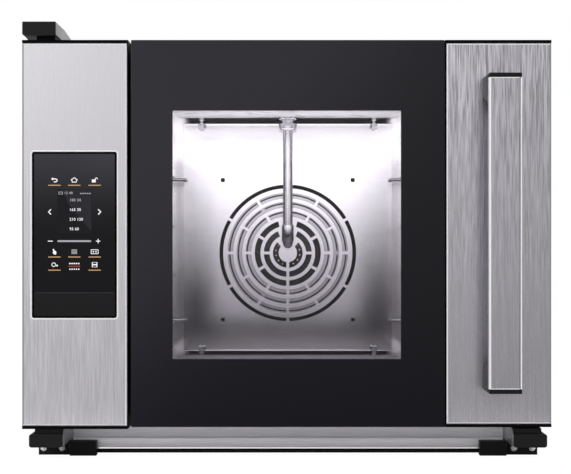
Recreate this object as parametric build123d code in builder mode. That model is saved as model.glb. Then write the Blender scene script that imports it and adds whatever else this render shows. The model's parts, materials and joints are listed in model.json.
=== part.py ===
from build123d import *
import os
from math import cos, radians, sin

os.makedirs("parts", exist_ok=True)

# Countertop convection oven with a glass door. Sizes are in millimetres.
# X runs to the right, Y to the back and Z up.
# The origin is on the worktop, under the middle of the whole oven.
# A depth is counted backwards from the door's front face.

# Overall sizes
body_width = 600.0
case_depth = 590.0
handle_reach = 62.0
cover_reach = 17.0
foot_height = 38.0
front_height = 441.0
cowl_rise = 21.0

# Sheet metal
sheet = 1.0
frame_sheet = 1.2
flange = 14.0

# Front
fascia_width = 120.0
fascia_overhang = 3.0
door_gap = 3.4
door_lift = 2.2
trim_strip = 3.4
edge_break = 0.6

# Door
door_thick = 36.0
seal_gap = 6.0
glass_thick = 4.0
steel_strip_width = 120.5
panel_line = 0.5
door_sheet = 1.5
rail_inset = 10.0
sight_side = 21.0
sight_top = 13.5
inner_glass_margin = 8.0
glass_play = 0.2

# Hinge and latch
hinge_in = 13.0
hinge_back = 8.5
pin_radius = 2.5
pin_play = 0.05
pin_grip = 10.0
bracket_thick = 4.0
door_swing = 120.0
roller_radius = 7.0
roller_travel = 3.0

# Handle
handle_width = 36.0
handle_length = 352.0
handle_bar_thick = 12.0
handle_wall = 2.0
handle_cap = 3.5
leg_front_height = 32.0
leg_back_height = 22.0

# Cavity
cavity_width = 342.0
cavity_room = 48.0
motor_room = 40.0
cavity_corner = 20.0
mouth_lip = 1.5
liner_sheet = 1.0
insulation_thick = 20.0
gasket_width = 5.0
gasket_gap = 0.3
gasket_margin = 0.8

# Baffle and fan
fan_room = 40.0
baffle_side = 19.5
baffle_foot = 6.0
baffle_head = 9.4
baffle_sheet = 1.5
baffle_lip = 8.0
fan_drop = 24.5
slot_first = 17.5
slot_pitch = 13.2
slot_width = 8.0
slot_outer_width = 5.2
slot_bridge = 4.0
slot_steps = 48
fan_radius = 94.0
fan_eye = 48.0
fan_blades = 10
fan_depth = 26.0
heater_radius = 112.0
heater_tube = 3.0
heater_rings = 2
ring_sides = 36
shaft_radius = 5.0

# Tray racks
rack_wire = 2.5
rack_levels = 4
rack_foot = 51.0
rack_head = 91.0
rack_standoff = 0.3
runner_reach = 8.0
tray_side = 6.0
stop_hold = 18.5

# Feet and rail
foot_width = 38.0
foot_neck = 6.0
rail_set_back = 72.0
foot_out = 294.0
rail_width = 506.0
pad_length = 40.0

# Cowl
cowl_width = 38.0
cowl_height = 15.0
cowl_length = 160.0

# Touch panel
touch_width = 97.0
touch_height = 190.0
touch_lift = 125.5
touch_side = 11.0
touch_corner = 4.0
touch_frame = 1.6

# Running gap between parts that move and the parts beside them
running_gap = 0.3
play = 0.5

# Derived places
front_y = handle_reach - (handle_reach + case_depth + cover_reach) / 2
left = -body_width / 2
right = body_width / 2
cab_left = left + fascia_overhang
cab_right = right
cx = (cab_left + cab_right) / 2
low = foot_height
roof = foot_height + front_height
frame_depth = door_thick + seal_gap
liner_depth = frame_depth + frame_sheet
case_back = case_depth - sheet
cavity_back = case_depth - motor_room
baffle_depth = cavity_back - fan_room
baffle_width = cavity_width - 2 * baffle_side
tray_width = cavity_width - 2 * tray_side

door_left = left + fascia_width + door_gap
door_low = low + door_lift
steel_left = right - steel_strip_width
rail_low = door_low + rail_inset
rail_high = roof - rail_inset
sight_x = 0.0
hinge_x = door_left + hinge_in
latch_x = right - 62.0

cavity_left = cx - cavity_width / 2
cavity_low = low + cavity_room
cavity_high = roof - cavity_room
cavity_height = cavity_high - cavity_low
cavity_mid = cavity_low + cavity_height / 2
baffle_low = cavity_low + baffle_foot
baffle_height = cavity_high - baffle_head - baffle_low
fan_height = cavity_mid - fan_drop
rack_first = cavity_low + rack_foot
rack_last = cavity_high - rack_head
sight_width = cavity_width - 2 * sight_side
sight_height = cavity_height - 2 * sight_top
sight_z = cavity_mid - 0.3
touch_low = low + touch_lift
mouth_width = cavity_width - 2 * mouth_lip
mouth_height = cavity_height - 2 * mouth_lip
mouth_corner = cavity_corner - mouth_lip


def y_at(depth):
    return front_y + depth


def facing(depth):
    """A plane that looks forward, at a depth behind the door's front face."""
    return Plane(origin=(0, front_y + depth, 0), x_dir=(1, 0, 0), z_dir=(0, -1, 0))


def level(z):
    return Plane.XY.offset(z)


def across(x):
    """A plane that looks to the right, with Y along its first direction."""
    return Plane(origin=(x, 0, 0), x_dir=(0, 1, 0), z_dir=(1, 0, 0))


def slab(x0, x1, d0, d1, z0, z1, mode=Mode.ADD):
    """A plain plate between two places along each direction, depths counted from the door's front."""
    with Locations(((x0 + x1) / 2, front_y + (d0 + d1) / 2, (z0 + z1) / 2)):
        Box(x1 - x0, d1 - d0, z1 - z0, mode=mode)


def rod_y(x, z, d0, d1, radius, mode=Mode.ADD):
    """A round rod that runs to the back."""
    with Locations(Location((x, front_y + (d0 + d1) / 2, z), (90, 0, 0))):
        Cylinder(radius, d1 - d0, mode=mode)


def rod_z(x, d, z0, z1, radius, mode=Mode.ADD):
    with Locations((x, front_y + d, (z0 + z1) / 2)):
        Cylinder(radius, z1 - z0, mode=mode)


def rod_x(x0, x1, d, z, radius, mode=Mode.ADD):
    with Locations(Location(((x0 + x1) / 2, front_y + d, z), (0, 90, 0))):
        Cylinder(radius, x1 - x0, mode=mode)


def facet_y(x, z, d0, d1, radius, sides, mode=Mode.ADD):
    """A bar of many even sides that runs to the back, for round parts that stay hidden."""
    with BuildSketch(facing(d0)) as section:
        with Locations((x, z)):
            RegularPolygon(radius, sides)
    extrude(section.sketch, amount=d0 - d1, mode=mode)


def finish(part, name):
    part.part.label = name
    export_step(part.part, "parts/" + name + ".step")


# The electrical side lies between the left side panel and the compartment wall
wool_gap = 0.2
wall_gap = 3.0
wall_x = cavity_left - liner_sheet - wool_gap - insulation_thick - wall_gap
elec_width = wall_x - cab_left - 2 * sheet
elec_mid = cab_left + sheet + elec_width / 2

# Casing: two side panels, roof, base and rear panel
side_top = roof - sheet
side_low = low

with BuildPart() as side_left:
    slab(cab_left, cab_left + sheet, frame_depth, case_depth, side_low, side_top)
    slab(cab_left + sheet, cab_left + flange, frame_depth, case_back, side_top - sheet, side_top)
    with Locations(Location((cab_left, y_at(case_depth - 150), low + 70), (0, 90, 0))):
        with GridLocations(14, 60, 7, 2):
            Box(5, 48, 6 * sheet, mode=Mode.SUBTRACT)
finish(side_left, "side_panel_left")

with BuildPart() as side_right:
    slab(cab_right - sheet, cab_right, frame_depth, case_depth, side_low, side_top)
    slab(cab_right - flange, cab_right - sheet, frame_depth, case_back, side_top - sheet, side_top)
finish(side_right, "side_panel_right")

with BuildPart() as roof_panel:
    slab(cab_left, cab_right, frame_depth, case_depth, roof - sheet, roof)
    slab(cab_left + flange, cab_right - flange, case_back - sheet, case_back, roof - flange, roof - sheet)
    with Locations((cab_left + 60, y_at(case_depth - 95), roof - sheet / 2)):
        with GridLocations(12, 70, 5, 2):
            Box(5, 56, 4 * sheet, mode=Mode.SUBTRACT)
finish(roof_panel, "roof_panel")

with BuildPart() as base_pan:
    slab(cab_left + sheet, cab_right - sheet, frame_depth + frame_sheet, case_back, low, low + sheet)
    slab(
        cab_left + sheet,
        cab_left + 2 * sheet,
        frame_depth + frame_sheet,
        case_back,
        low + sheet,
        low + flange,
    )
    slab(
        cab_right - 2 * sheet,
        cab_right - sheet,
        frame_depth + frame_sheet,
        case_back,
        low + sheet,
        low + flange,
    )
    slab(
        cab_left + 2 * sheet, cab_right - 2 * sheet, case_back - sheet, case_back, low + sheet, low + flange
    )
finish(base_pan, "base_pan")

# Rear panel, with the motor's opening and the outlets of the electrical side
motor_hole = 62.0
gland_z = low + 44.0
valve_half = 15.0
inlet_x = wall_x - sheet - valve_half - 5.0
inlet_z = low + 120.0
inlet_radius = 13.2
inlet_neck = 10.0
gland_x = elec_mid - 17.0
gland_hole = 8.0
cooling_side = 10.0
cooling_size = elec_width - 2 * cooling_side
cooling_x = elec_mid
cooling_z = roof - 92.0

with BuildPart() as rear_panel:
    slab(cab_left + sheet, cab_right - sheet, case_back, case_depth, low, side_top)
    with BuildSketch(facing(case_back)):
        with Locations((cx, fan_height)):
            Rectangle(2 * motor_hole, 2 * motor_hole)
        with Locations((inlet_x, inlet_z)):
            RegularPolygon(inlet_neck, 12)
        with Locations((gland_x, gland_z)):
            Circle(gland_hole)
        with Locations((cooling_x, cooling_z)):
            with GridLocations(0, 9, 1, 8):
                Rectangle(cooling_size - 8, 4.5)
    extrude(amount=-3 * sheet, mode=Mode.SUBTRACT)
    with BuildSketch(facing(case_back)):
        with Locations((cx, roof - 62)):
            with GridLocations(16, 0, 16, 1):
                Rectangle(5, 36)
    extrude(amount=-3 * sheet, mode=Mode.SUBTRACT)
finish(rear_panel, "rear_panel")

# Front frame: the plate round the cavity's mouth that the door closes against
wire_window = 22.0

latch_z = sight_z
tongue_thick = 4.0
tongue_reach = 22.0
tongue_half = 8.0
notch = 1.2
roller_depth = frame_depth + 8.0
roller_z = latch_z - tongue_half + notch - running_gap - roller_radius
roller_width = 9.0
plunger_half = 4.0
latch_base = roller_z - 34.0
latch_slot = roller_width + 2.0

with BuildPart() as front_frame:
    slab(cab_left + sheet, cab_right - sheet, frame_depth, liner_depth, low, side_top - sheet)
    with BuildSketch(facing(frame_depth)):
        with Locations((cx, cavity_mid)):
            RectangleRounded(mouth_width, mouth_height, mouth_corner)
    extrude(amount=-3 * frame_sheet, mode=Mode.SUBTRACT)
    fascia_mid = (cab_left + left + fascia_width) / 2
    with BuildSketch(facing(frame_depth)):
        with Locations((fascia_mid, low + front_height / 2)):
            RectangleRounded(fascia_width - 2 * wire_window, front_height - 3 * wire_window, 6)
    extrude(amount=-3 * frame_sheet, mode=Mode.SUBTRACT)
    slab(
        latch_x - latch_slot / 2,
        latch_x + latch_slot / 2,
        frame_depth - 1,
        liner_depth + 1,
        roller_z - roller_radius - roller_travel - 1,
        latch_z + tongue_half + 1,
        Mode.SUBTRACT,
    )
finish(front_frame, "front_frame")

# Cavity liner: one deep drawn box with round corners and holes for the shaft, the pipe and the probe
pipe_depth = baffle_depth - 26.0
pipe_radius = 7.0
shaft_hole = 14.0
probe_x = cavity_left + 43.0
probe_z = fan_height + 128.0
probe_radius = 2.0

with BuildPart() as liner:
    with BuildSketch(facing(liner_depth)):
        with Locations((cx, cavity_mid)):
            RectangleRounded(
                cavity_width + 2 * liner_sheet, cavity_height + 2 * liner_sheet, cavity_corner + liner_sheet
            )
    extrude(amount=-(cavity_back + liner_sheet - liner_depth))
    with BuildSketch(facing(liner_depth)):
        with Locations((cx, cavity_mid)):
            RectangleRounded(cavity_width, cavity_height, cavity_corner)
    extrude(amount=-(cavity_back - liner_depth), mode=Mode.SUBTRACT)
    rod_y(cx, fan_height, cavity_back - 1, cavity_back + 3, shaft_hole, Mode.SUBTRACT)
    rod_z(cx, pipe_depth, cavity_high - 1, cavity_high + 3, pipe_radius + play, Mode.SUBTRACT)
    rod_y(probe_x, probe_z, cavity_back - 1, cavity_back + 3, probe_radius, Mode.SUBTRACT)
finish(liner, "cavity_liner")

# Insulation: mineral wool round the liner, open for the motor and the pipe
wool_in_width = cavity_width + 2 * liner_sheet + 2 * wool_gap
wool_in_height = cavity_height + 2 * liner_sheet + 2 * wool_gap
wool_back = cavity_back + liner_sheet + wool_gap

with BuildPart() as insulation:
    with BuildSketch(facing(liner_depth)):
        with Locations((cx, cavity_mid)):
            Rectangle(wool_in_width + 2 * insulation_thick, wool_in_height + 2 * insulation_thick)
    extrude(amount=-(wool_back + insulation_thick - liner_depth))
    with BuildSketch(facing(liner_depth)):
        with Locations((cx, cavity_mid)):
            Rectangle(wool_in_width, wool_in_height)
    extrude(amount=-(wool_back - liner_depth), mode=Mode.SUBTRACT)
    with BuildSketch(facing(wool_back)):
        with Locations((cx, fan_height)):
            Rectangle(2 * motor_hole, 2 * motor_hole)
    extrude(amount=-2 * insulation_thick, mode=Mode.SUBTRACT)
    with BuildSketch(level(cavity_high)):
        with Locations((cx, y_at(pipe_depth))):
            Rectangle(2 * pipe_radius + 8, 2 * pipe_radius + 8)
    extrude(amount=2 * insulation_thick, mode=Mode.SUBTRACT)
finish(insulation, "insulation")

# Compartment wall between the hot side and the electrical side
with BuildPart() as compartment_wall:
    slab(wall_x - sheet, wall_x, liner_depth, case_back - sheet, low + sheet, roof - sheet)
    slab(wall_x - flange, wall_x - sheet, liner_depth, liner_depth + sheet, low + flange, roof - flange)
finish(compartment_wall, "compartment_wall")

# Door gasket: a silicone tube bead on the front frame, round the cavity's mouth
gasket_in_width = mouth_width + 2 * gasket_margin
gasket_in_height = mouth_height + 2 * gasket_margin
gasket_corner = mouth_corner + gasket_margin
gasket_depth = seal_gap - gasket_gap

with BuildPart() as gasket:
    with BuildSketch(facing(frame_depth)):
        with Locations((cx, cavity_mid)):
            RectangleRounded(
                gasket_in_width + 2 * gasket_width,
                gasket_in_height + 2 * gasket_width,
                gasket_corner + gasket_width,
            )
            RectangleRounded(gasket_in_width, gasket_in_height, gasket_corner, mode=Mode.SUBTRACT)
    extrude(amount=gasket_depth)
finish(gasket, "door_gasket")

# Circulation baffle: rings of curved slots round the fan's axis, folded lips at its top and bottom
baffle_mid = baffle_low + baffle_height / 2
stud_x = baffle_width / 2 - 26.8
stud_radius = 3.5
cross_x = 94.5
cross_size = 5.5
slot_spine = 5.2
slot_reach = slot_first + 7 * slot_pitch
slot_patch = slot_first + 2.5 * slot_pitch
pipe_patch = 22.0


def slot_ring(index, width, count, turn):
    """One ring of curved slots, cut in short even steps, with bridges of even width between them."""
    middle = slot_first + slot_pitch * index
    RegularPolygon(middle + width / 2, slot_steps)
    RegularPolygon(middle - width / 2, slot_steps, mode=Mode.SUBTRACT)
    with PolarLocations(middle, count, start_angle=turn):
        Rectangle(width + 2, slot_bridge, mode=Mode.SUBTRACT)


with BuildPart() as baffle:
    with BuildSketch(facing(baffle_depth)):
        with Locations((cx, baffle_mid)):
            Rectangle(baffle_width, baffle_height)
    extrude(amount=-baffle_sheet)
    with BuildSketch(Plane(origin=(cx, y_at(baffle_depth), fan_height), x_dir=(1, 0, 0), z_dir=(0, -1, 0))):
        slot_ring(6, slot_outer_width, 6, 30)
        slot_ring(5, slot_width, 6, 0)
        slot_ring(4, slot_width, 6, 30)
        slot_ring(3, slot_width, 6, 0)
        slot_ring(2, slot_width, 6, 30)
        slot_ring(1, slot_width, 4, 0)
        slot_ring(0, slot_width, 2, 90)
        with Locations((0, -slot_reach / 2)):
            Rectangle(slot_spine, slot_reach, mode=Mode.SUBTRACT)
        with Locations((0, slot_patch / 2)):
            Rectangle(pipe_patch, slot_patch, mode=Mode.SUBTRACT)
    extrude(amount=-2 * baffle_sheet, mode=Mode.SUBTRACT)
    with BuildSketch(facing(baffle_depth)):
        with Locations((cx, (rack_first + rack_last) / 2)):
            with GridLocations(2 * cross_x, rack_last - rack_first, 2, 2):
                Rectangle(cross_size, cross_size)
    extrude(amount=-2 * baffle_sheet, mode=Mode.SUBTRACT)
    lip_z = (baffle_low, baffle_low + baffle_height - baffle_sheet)
    for z in lip_z:
        slab(
            cx - baffle_width / 2,
            cx + baffle_width / 2,
            baffle_depth - baffle_lip,
            baffle_depth,
            z,
            z + baffle_sheet,
        )
finish(baffle, "fan_baffle")

# Studs that hold the baffle between the cavity's ceiling and floor
with BuildPart() as studs:
    stud_y = y_at(baffle_depth - baffle_lip / 2)
    for base, top in ((cavity_low, baffle_low), (baffle_low + baffle_height, cavity_high)):
        with BuildSketch(level(base)):
            with Locations((cx - stud_x, stud_y), (cx + stud_x, stud_y)):
                RegularPolygon(stud_radius, 6)
        extrude(amount=top - base)
    for base in (cavity_low, cavity_high - 2.5):
        with BuildSketch(level(base)):
            with Locations((cx - stud_x, stud_y), (cx + stud_x, stud_y)):
                RegularPolygon(2 * stud_radius, 6)
        extrude(amount=2.5)
finish(studs, "baffle_studs")

# Humidity pipe: down from the ceiling in front of the baffle, then back through it into the fan's eye
pipe_low = fan_height + 7.0
pipe_sleeve = 8.5
collar_radius = 13.0
pipe_turn = pipe_low + pipe_radius

with BuildPart() as pipe:
    rod_z(cx, pipe_depth, pipe_low, cavity_high + 12, pipe_radius)
    facet_y(cx, pipe_turn, pipe_depth, baffle_depth, pipe_radius * 0.8, 12)
    rod_z(cx, pipe_depth, pipe_turn + 3, pipe_turn + 27, pipe_sleeve)
    for base, top, reach in (
        (cavity_high - 5, cavity_high, collar_radius),
        (cavity_high - 15, cavity_high - 5, collar_radius - 3),
        (cavity_high - 20, cavity_high - 15, collar_radius),
    ):
        with BuildSketch(level(base)):
            with Locations((cx, y_at(pipe_depth))):
                RegularPolygon(reach, 12)
        extrude(amount=top - base)
finish(pipe, "humidity_pipe")

# Fan wheel: back plate, curved blades, front ring with the eye, hub and shaft
fan_front = baffle_depth + baffle_sheet + 2.5
fan_back = fan_front + fan_depth
motor_face = wool_back + 2.0
shaft_end = motor_face + 8.0
ring_sheet = 1.2

with BuildPart() as impeller:
    facet_y(cx, fan_height, fan_back - ring_sheet, fan_back, fan_radius, ring_sides)
    facet_y(cx, fan_height, fan_front, fan_front + ring_sheet, fan_radius, ring_sides)
    facet_y(cx, fan_height, fan_front - 1, fan_front + ring_sheet, fan_eye, ring_sides, Mode.SUBTRACT)
    blade_end = fan_radius - 2
    with BuildSketch(Plane(origin=(cx, y_at(fan_front), fan_height), x_dir=(1, 0, 0), z_dir=(0, -1, 0))):
        with PolarLocations(0, fan_blades):
            Polygon(
                (fan_eye - 6, 0),
                (0.74 * fan_radius, -7),
                (blade_end, 3),
                (blade_end, 4.8),
                (0.74 * fan_radius, -5.2),
                (fan_eye - 6, 1.8),
                align=None,
            )
    extrude(amount=-(fan_depth - ring_sheet))
    facet_y(cx, fan_height, fan_front + 4, fan_back - ring_sheet, 3 * shaft_radius, 12)
    rod_y(cx, fan_height, fan_back - ring_sheet, shaft_end, shaft_radius)
finish(impeller, "fan_wheel")

# Fan motor: a can on its square mounting plate, behind the liner
motor_radius = 44.0
motor_plate = motor_hole - play
cover_back = case_depth + cover_reach

with BuildPart() as motor:
    slab(
        cx - motor_plate,
        cx + motor_plate,
        motor_face,
        motor_face + 2,
        fan_height - motor_plate,
        fan_height + motor_plate,
    )
    facet_y(cx, fan_height, motor_face + 2, cover_back - 3, motor_radius, ring_sides)
    rod_y(cx, fan_height, motor_face - 1, shaft_end + 1, shaft_radius + pin_play, Mode.SUBTRACT)
finish(motor, "fan_motor")

# Motor cover: a pressed box on the rear panel with a column of slots
cover_half = motor_hole + 8.0
cover_in = cover_half - 1.2
cover_inner = cover_back - 1.2

with BuildPart() as motor_cover:
    slab(
        cx - cover_half,
        cx + cover_half,
        case_depth,
        cover_back,
        fan_height - cover_half,
        fan_height + cover_half,
    )
    chamfer(motor_cover.faces().sort_by(Axis.Y)[-1].edges(), 1.5)
    slab(
        cx - cover_in,
        cx + cover_in,
        case_depth - 1,
        cover_inner,
        fan_height - cover_in,
        fan_height + cover_in,
        Mode.SUBTRACT,
    )
    with BuildSketch(facing(cover_back)):
        with Locations((cx, fan_height)):
            with GridLocations(0, 11, 1, 7):
                Rectangle(90, 5)
    extrude(amount=3, mode=Mode.SUBTRACT)
finish(motor_cover, "motor_cover")

# Ring heater round the fan wheel: its turns, and the tails through the back wall
heater_pitch = 10.0
heater_start = fan_front + 5.0

with BuildPart() as heater:
    for turn in range(heater_rings):
        ring = heater_start + turn * heater_pitch
        facet_y(cx, fan_height, ring, ring + 2 * heater_tube, heater_radius + heater_tube, ring_sides)
    facet_y(
        cx,
        fan_height,
        heater_start - 1,
        cavity_back,
        heater_radius - heater_tube,
        ring_sides,
        Mode.SUBTRACT,
    )
    for angle in (90, 210, 330):
        x = cx + heater_radius * cos(radians(angle))
        z = fan_height + heater_radius * sin(radians(angle))
        slab(x - 2, x + 2, heater_start, cavity_back, z - 2, z + 2)
finish(heater, "ring_heater")

# Tray racks: chromed wire frames, one on each side wall, four runners each
rack_out = cavity_width / 2 - rack_standoff - rack_wire
rack_in = tray_width / 2 - runner_reach + rack_wire
rack_front = 90.0
rack_rear = baffle_depth - 78.0
rack_top = rack_last + 34.0
rack_bottom = rack_first - 28.0
rack_pitch = (rack_last - rack_first) / (rack_levels - 1)
runner_over = 5.0
stop_reach = tray_width / 2 - stop_hold
stop_depth = baffle_depth - 12.0
stop_wire = 2.75
wire_sides = 6


def wire(plane, length, radius):
    """A straight wire with flats that starts at a plane's origin."""
    with BuildSketch(plane) as section:
        RegularPolygon(radius, wire_sides, rotation=180 / wire_sides)
    extrude(section.sketch, amount=length)


def rack(side, name):
    out = cx + side * rack_out
    inner = cx + side * rack_in
    with BuildPart() as frame:
        for depth in (rack_front, rack_rear):
            upright = Plane(origin=(out, y_at(depth), rack_bottom - rack_wire), z_dir=(0, 0, 1))
            wire(upright, rack_top - rack_bottom + 2 * rack_wire, rack_wire)
        for z in (rack_bottom, rack_top):
            wire(
                Plane(origin=(out, y_at(rack_front), z), z_dir=(0, 1, 0)),
                rack_rear - rack_front,
                rack_wire * 0.9,
            )
        for z in (rack_first, rack_last):
            wire(
                Plane(origin=(out, y_at(rack_rear), z), z_dir=(0, 1, 0)),
                stop_depth - rack_rear,
                rack_wire * 0.8,
            )
            arm = Plane(origin=(out, y_at(stop_depth - stop_wire), z), z_dir=(-side, 0, 0))
            wire(arm, rack_out - stop_reach, stop_wire)
        for step in range(rack_levels):
            z = rack_first + step * rack_pitch
            runner = Plane(origin=(inner, y_at(rack_front - runner_over), z), z_dir=(0, 1, 0))
            wire(runner, rack_rear - rack_front + 2 * runner_over, rack_wire * 0.9)
            for depth in (rack_front, rack_rear):
                wire(
                    Plane(origin=(out, y_at(depth), z), z_dir=(-side, 0, 0)),
                    rack_out - rack_in,
                    rack_wire * 0.8,
                )
    finish(frame, name)


rack(-1, "tray_rack_left")
rack(1, "tray_rack_right")

# Hooks on the liner's side walls that the racks hang on
hook_reach = rack_standoff + 2 * rack_wire + 1.0

with BuildPart() as rack_hooks:
    for side in (-1, 1):
        wall = cx + side * cavity_width / 2
        x0, x1 = sorted((wall, wall - side * hook_reach))
        t0, t1 = sorted((wall - side * hook_reach, wall - side * (hook_reach + 1.5)))
        for depth in (rack_front + 14, rack_rear - 14):
            z = rack_top - rack_wire
            slab(x0, x1, depth - 5, depth + 5, z - 2, z - running_gap)
            slab(t0, t1, depth - 5, depth + 5, z - 2, z + 4)
finish(rack_hooks, "rack_hooks")

# Temperature probe behind the baffle, through the back wall
with BuildPart() as probe:
    rod_y(probe_x, probe_z, baffle_depth + baffle_sheet + 8, wool_back, probe_radius)
finish(probe, "temperature_probe")

# Control fascia: a folded steel box on the left of the door, with the touch panel's cut-out
fascia_right = left + fascia_width
fascia_low = low + trim_strip
fascia_high = roof - trim_strip
fascia_sheet = 1.2
touch_left = left + touch_side
touch_mid = touch_low + touch_height / 2
touch_x = touch_left + touch_width / 2

with BuildPart() as fascia:
    slab(left, fascia_right, 0, frame_depth, fascia_low, fascia_high)
    fascia_edges = fascia.faces().sort_by(Axis.Y)[0].edges()
    chamfer(fascia_edges, edge_break)
    slab(
        left + fascia_sheet,
        fascia_right - fascia_sheet,
        fascia_sheet,
        frame_depth + 1,
        fascia_low - 1,
        fascia_high + 1,
        Mode.SUBTRACT,
    )
    with BuildSketch(facing(0)):
        with Locations((touch_x, touch_mid)):
            RectangleRounded(touch_width, touch_height, touch_corner)
    extrude(amount=-2 * fascia_sheet, mode=Mode.SUBTRACT)
finish(fascia, "control_fascia")

with BuildPart() as fascia_trims:
    slab(left, fascia_right, 0, frame_depth, low, fascia_low)
    slab(left, fascia_right, 0, frame_depth, fascia_high, roof)
finish(fascia_trims, "fascia_trims")

# Touch panel: a bright frame in the cut-out, the glass in the frame and the board behind it
with BuildPart() as touch_bezel:
    with BuildSketch(facing(-0.4)):
        with Locations((touch_x, touch_mid)):
            RectangleRounded(touch_width, touch_height, touch_corner)
            RectangleRounded(
                touch_width - 2 * touch_frame,
                touch_height - 2 * touch_frame,
                touch_corner - touch_frame,
                mode=Mode.SUBTRACT,
            )
    extrude(amount=-(fascia_sheet + 4.4))
finish(touch_bezel, "touch_bezel")

with BuildPart() as touch_glass:
    with BuildSketch(facing(0.2)):
        with Locations((touch_x, touch_mid)):
            RectangleRounded(
                touch_width - 2 * touch_frame, touch_height - 2 * touch_frame, touch_corner - touch_frame
            )
    extrude(amount=-3.0)
finish(touch_glass, "touch_glass")

with BuildPart() as control_board:
    slab(
        touch_left + 4,
        touch_left + touch_width - 4,
        3.2,
        7.0,
        touch_low + 4,
        touch_low + touch_height - 4,
    )
    slab(
        touch_left + 12,
        touch_left + touch_width - 12,
        7.0,
        8.6,
        touch_low + 8,
        touch_low + touch_height - 8,
    )
    slab(touch_left + 20, touch_left + 44, 8.6, 14.0, touch_low + 30, touch_low + 60)
    slab(touch_left + 54, touch_left + 78, 8.6, 18.0, touch_low + 20, touch_low + 34)
finish(control_board, "control_board")

# Electrical side: power board on the compartment wall, terminal block on the base, cooling fan behind
board_face = wall_x - sheet
board_gap = 6.0
board_sheet = 1.6
board_front = liner_depth + 148.0
board_length = 160.0
board_low = fan_height - 54.0
board_height = 160.0
board_top = board_face - board_gap - board_sheet


def board_part(reach, d0, d1, z0, z1):
    """A part on the power board, placed from the board's front lower corner."""
    slab(board_top - reach, board_top, board_front + d0, board_front + d1, board_low + z0, board_low + z1)


with BuildPart() as power_board:
    for depth in (board_front + 10, board_front + board_length - 10):
        for z in (board_low + 10, board_low + board_height - 10):
            slab(board_face - board_gap, board_face, depth - 3, depth + 3, z - 3, z + 3)
    slab(
        board_top,
        board_face - board_gap,
        board_front,
        board_front + board_length,
        board_low,
        board_low + board_height,
    )
    board_part(25, 10, 50, 10, 50)
    board_part(19, 70, 150, 120, 150)
    board_part(13, 15, 40, 70, 140)
    for step in range(4):
        board_part(15, 120, 148, 20 + 22 * step, 36 + 22 * step)
finish(power_board, "power_board")

terminal_front = case_back - 109.0
terminal_length = 60.0
terminal_half = 16.0
terminal_pitch = 11.5

with BuildPart() as terminals:
    slab(
        elec_mid - terminal_half,
        elec_mid + terminal_half,
        terminal_front,
        terminal_front + terminal_length,
        low + sheet,
        low + sheet + 22,
    )
    for step in range(5):
        slab(
            elec_mid - terminal_half + 4,
            elec_mid + terminal_half - 4,
            terminal_front + 3 + terminal_pitch * step,
            terminal_front + terminal_pitch * (step + 1) - 0.5,
            low + sheet + 14,
            low + sheet + 23,
            Mode.SUBTRACT,
        )
finish(terminals, "terminal_block")

cooling_depth = 25.0
cooling_ring = cooling_size / 2 - 2
cooling_hub = 0.21 * cooling_size
blade_width = 0.76 * cooling_hub
cooling_front = case_back - cooling_depth

with BuildPart() as cooling_frame:
    with BuildSketch(facing(cooling_front)):
        with Locations((cooling_x, cooling_z)):
            Rectangle(cooling_size, cooling_size)
            RegularPolygon(cooling_ring, ring_sides, mode=Mode.SUBTRACT)
    extrude(amount=-cooling_depth)
    facet_y(cooling_x, cooling_z, cooling_front + 1, cooling_front + 4, cooling_hub - 1, 12)
    with BuildSketch(facing(cooling_front + 1)):
        with Locations((cooling_x, cooling_z)):
            with PolarLocations(cooling_ring / 2 + cooling_hub / 2, 4, start_angle=45):
                Rectangle(cooling_ring - cooling_hub + 4, 4)
    extrude(amount=-3)
    rod_y(cooling_x, cooling_z, cooling_front, cooling_front + 5, 3, Mode.SUBTRACT)
finish(cooling_frame, "cooling_fan_frame")

with BuildPart() as cooling_rotor:
    facet_y(cooling_x, cooling_z, cooling_front + 5, cooling_front + 21, cooling_hub, 16)
    rod_y(cooling_x, cooling_z, cooling_front + 0.5, cooling_front + 5, 3 - pin_play)
    with BuildSketch(facing(cooling_front + 7)):
        with Locations((cooling_x, cooling_z)):
            with PolarLocations((cooling_ring + cooling_hub) / 2 - 1.5, 7):
                Rectangle(cooling_ring - cooling_hub, blade_width)
    extrude(amount=-2)
finish(cooling_rotor, "cooling_fan_rotor")

# Water side: valve on the rear panel with its inlet, and the cable gland below it
valve_depth = 60.0
inlet_length = 14.0

with BuildPart() as valve:
    slab(inlet_x - 11, inlet_x + 11, case_back - valve_depth, case_back, inlet_z - 11, inlet_z + 11)
    slab(
        inlet_x - valve_half,
        inlet_x + valve_half,
        case_back - 51,
        case_back - 17,
        inlet_z + 11,
        inlet_z + 37,
    )
    facet_y(inlet_x, inlet_z, case_back, case_depth, inlet_neck, 12)
    rod_y(inlet_x, inlet_z, case_depth, case_depth + inlet_length, inlet_radius)
    facet_y(inlet_x, inlet_z, case_depth + 2, case_depth + inlet_length + 1, 8, 12, Mode.SUBTRACT)
finish(valve, "water_valve")

gland_bore = 5.0

with BuildPart() as gland:
    with BuildSketch(facing(case_depth)):
        with Locations((gland_x, gland_z)):
            RegularPolygon(gland_hole + 5, 6)
    extrude(amount=-6)
    facet_y(gland_x, gland_z, case_depth + 6, case_depth + 14, gland_hole, 12)
    facet_y(gland_x, gland_z, case_back - 8, case_depth, gland_hole, 12)
    rod_y(gland_x, gland_z, case_back - 9, case_depth + 15, gland_bore, Mode.SUBTRACT)
finish(gland, "cable_gland")

# Door: a folded frame behind the outer glass, with a seat for the inner glass round the sight opening
ring_left = door_left + 1.0
ring_right = right - door_sheet
seat_width = sight_width + 2 * inner_glass_margin
seat_height = sight_height + 2 * inner_glass_margin
seat_depth = door_thick - glass_thick
heel_wide = 7.0
heel_deep = 2.4
boss = 7.0
hinge_y = y_at(hinge_back)

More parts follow.
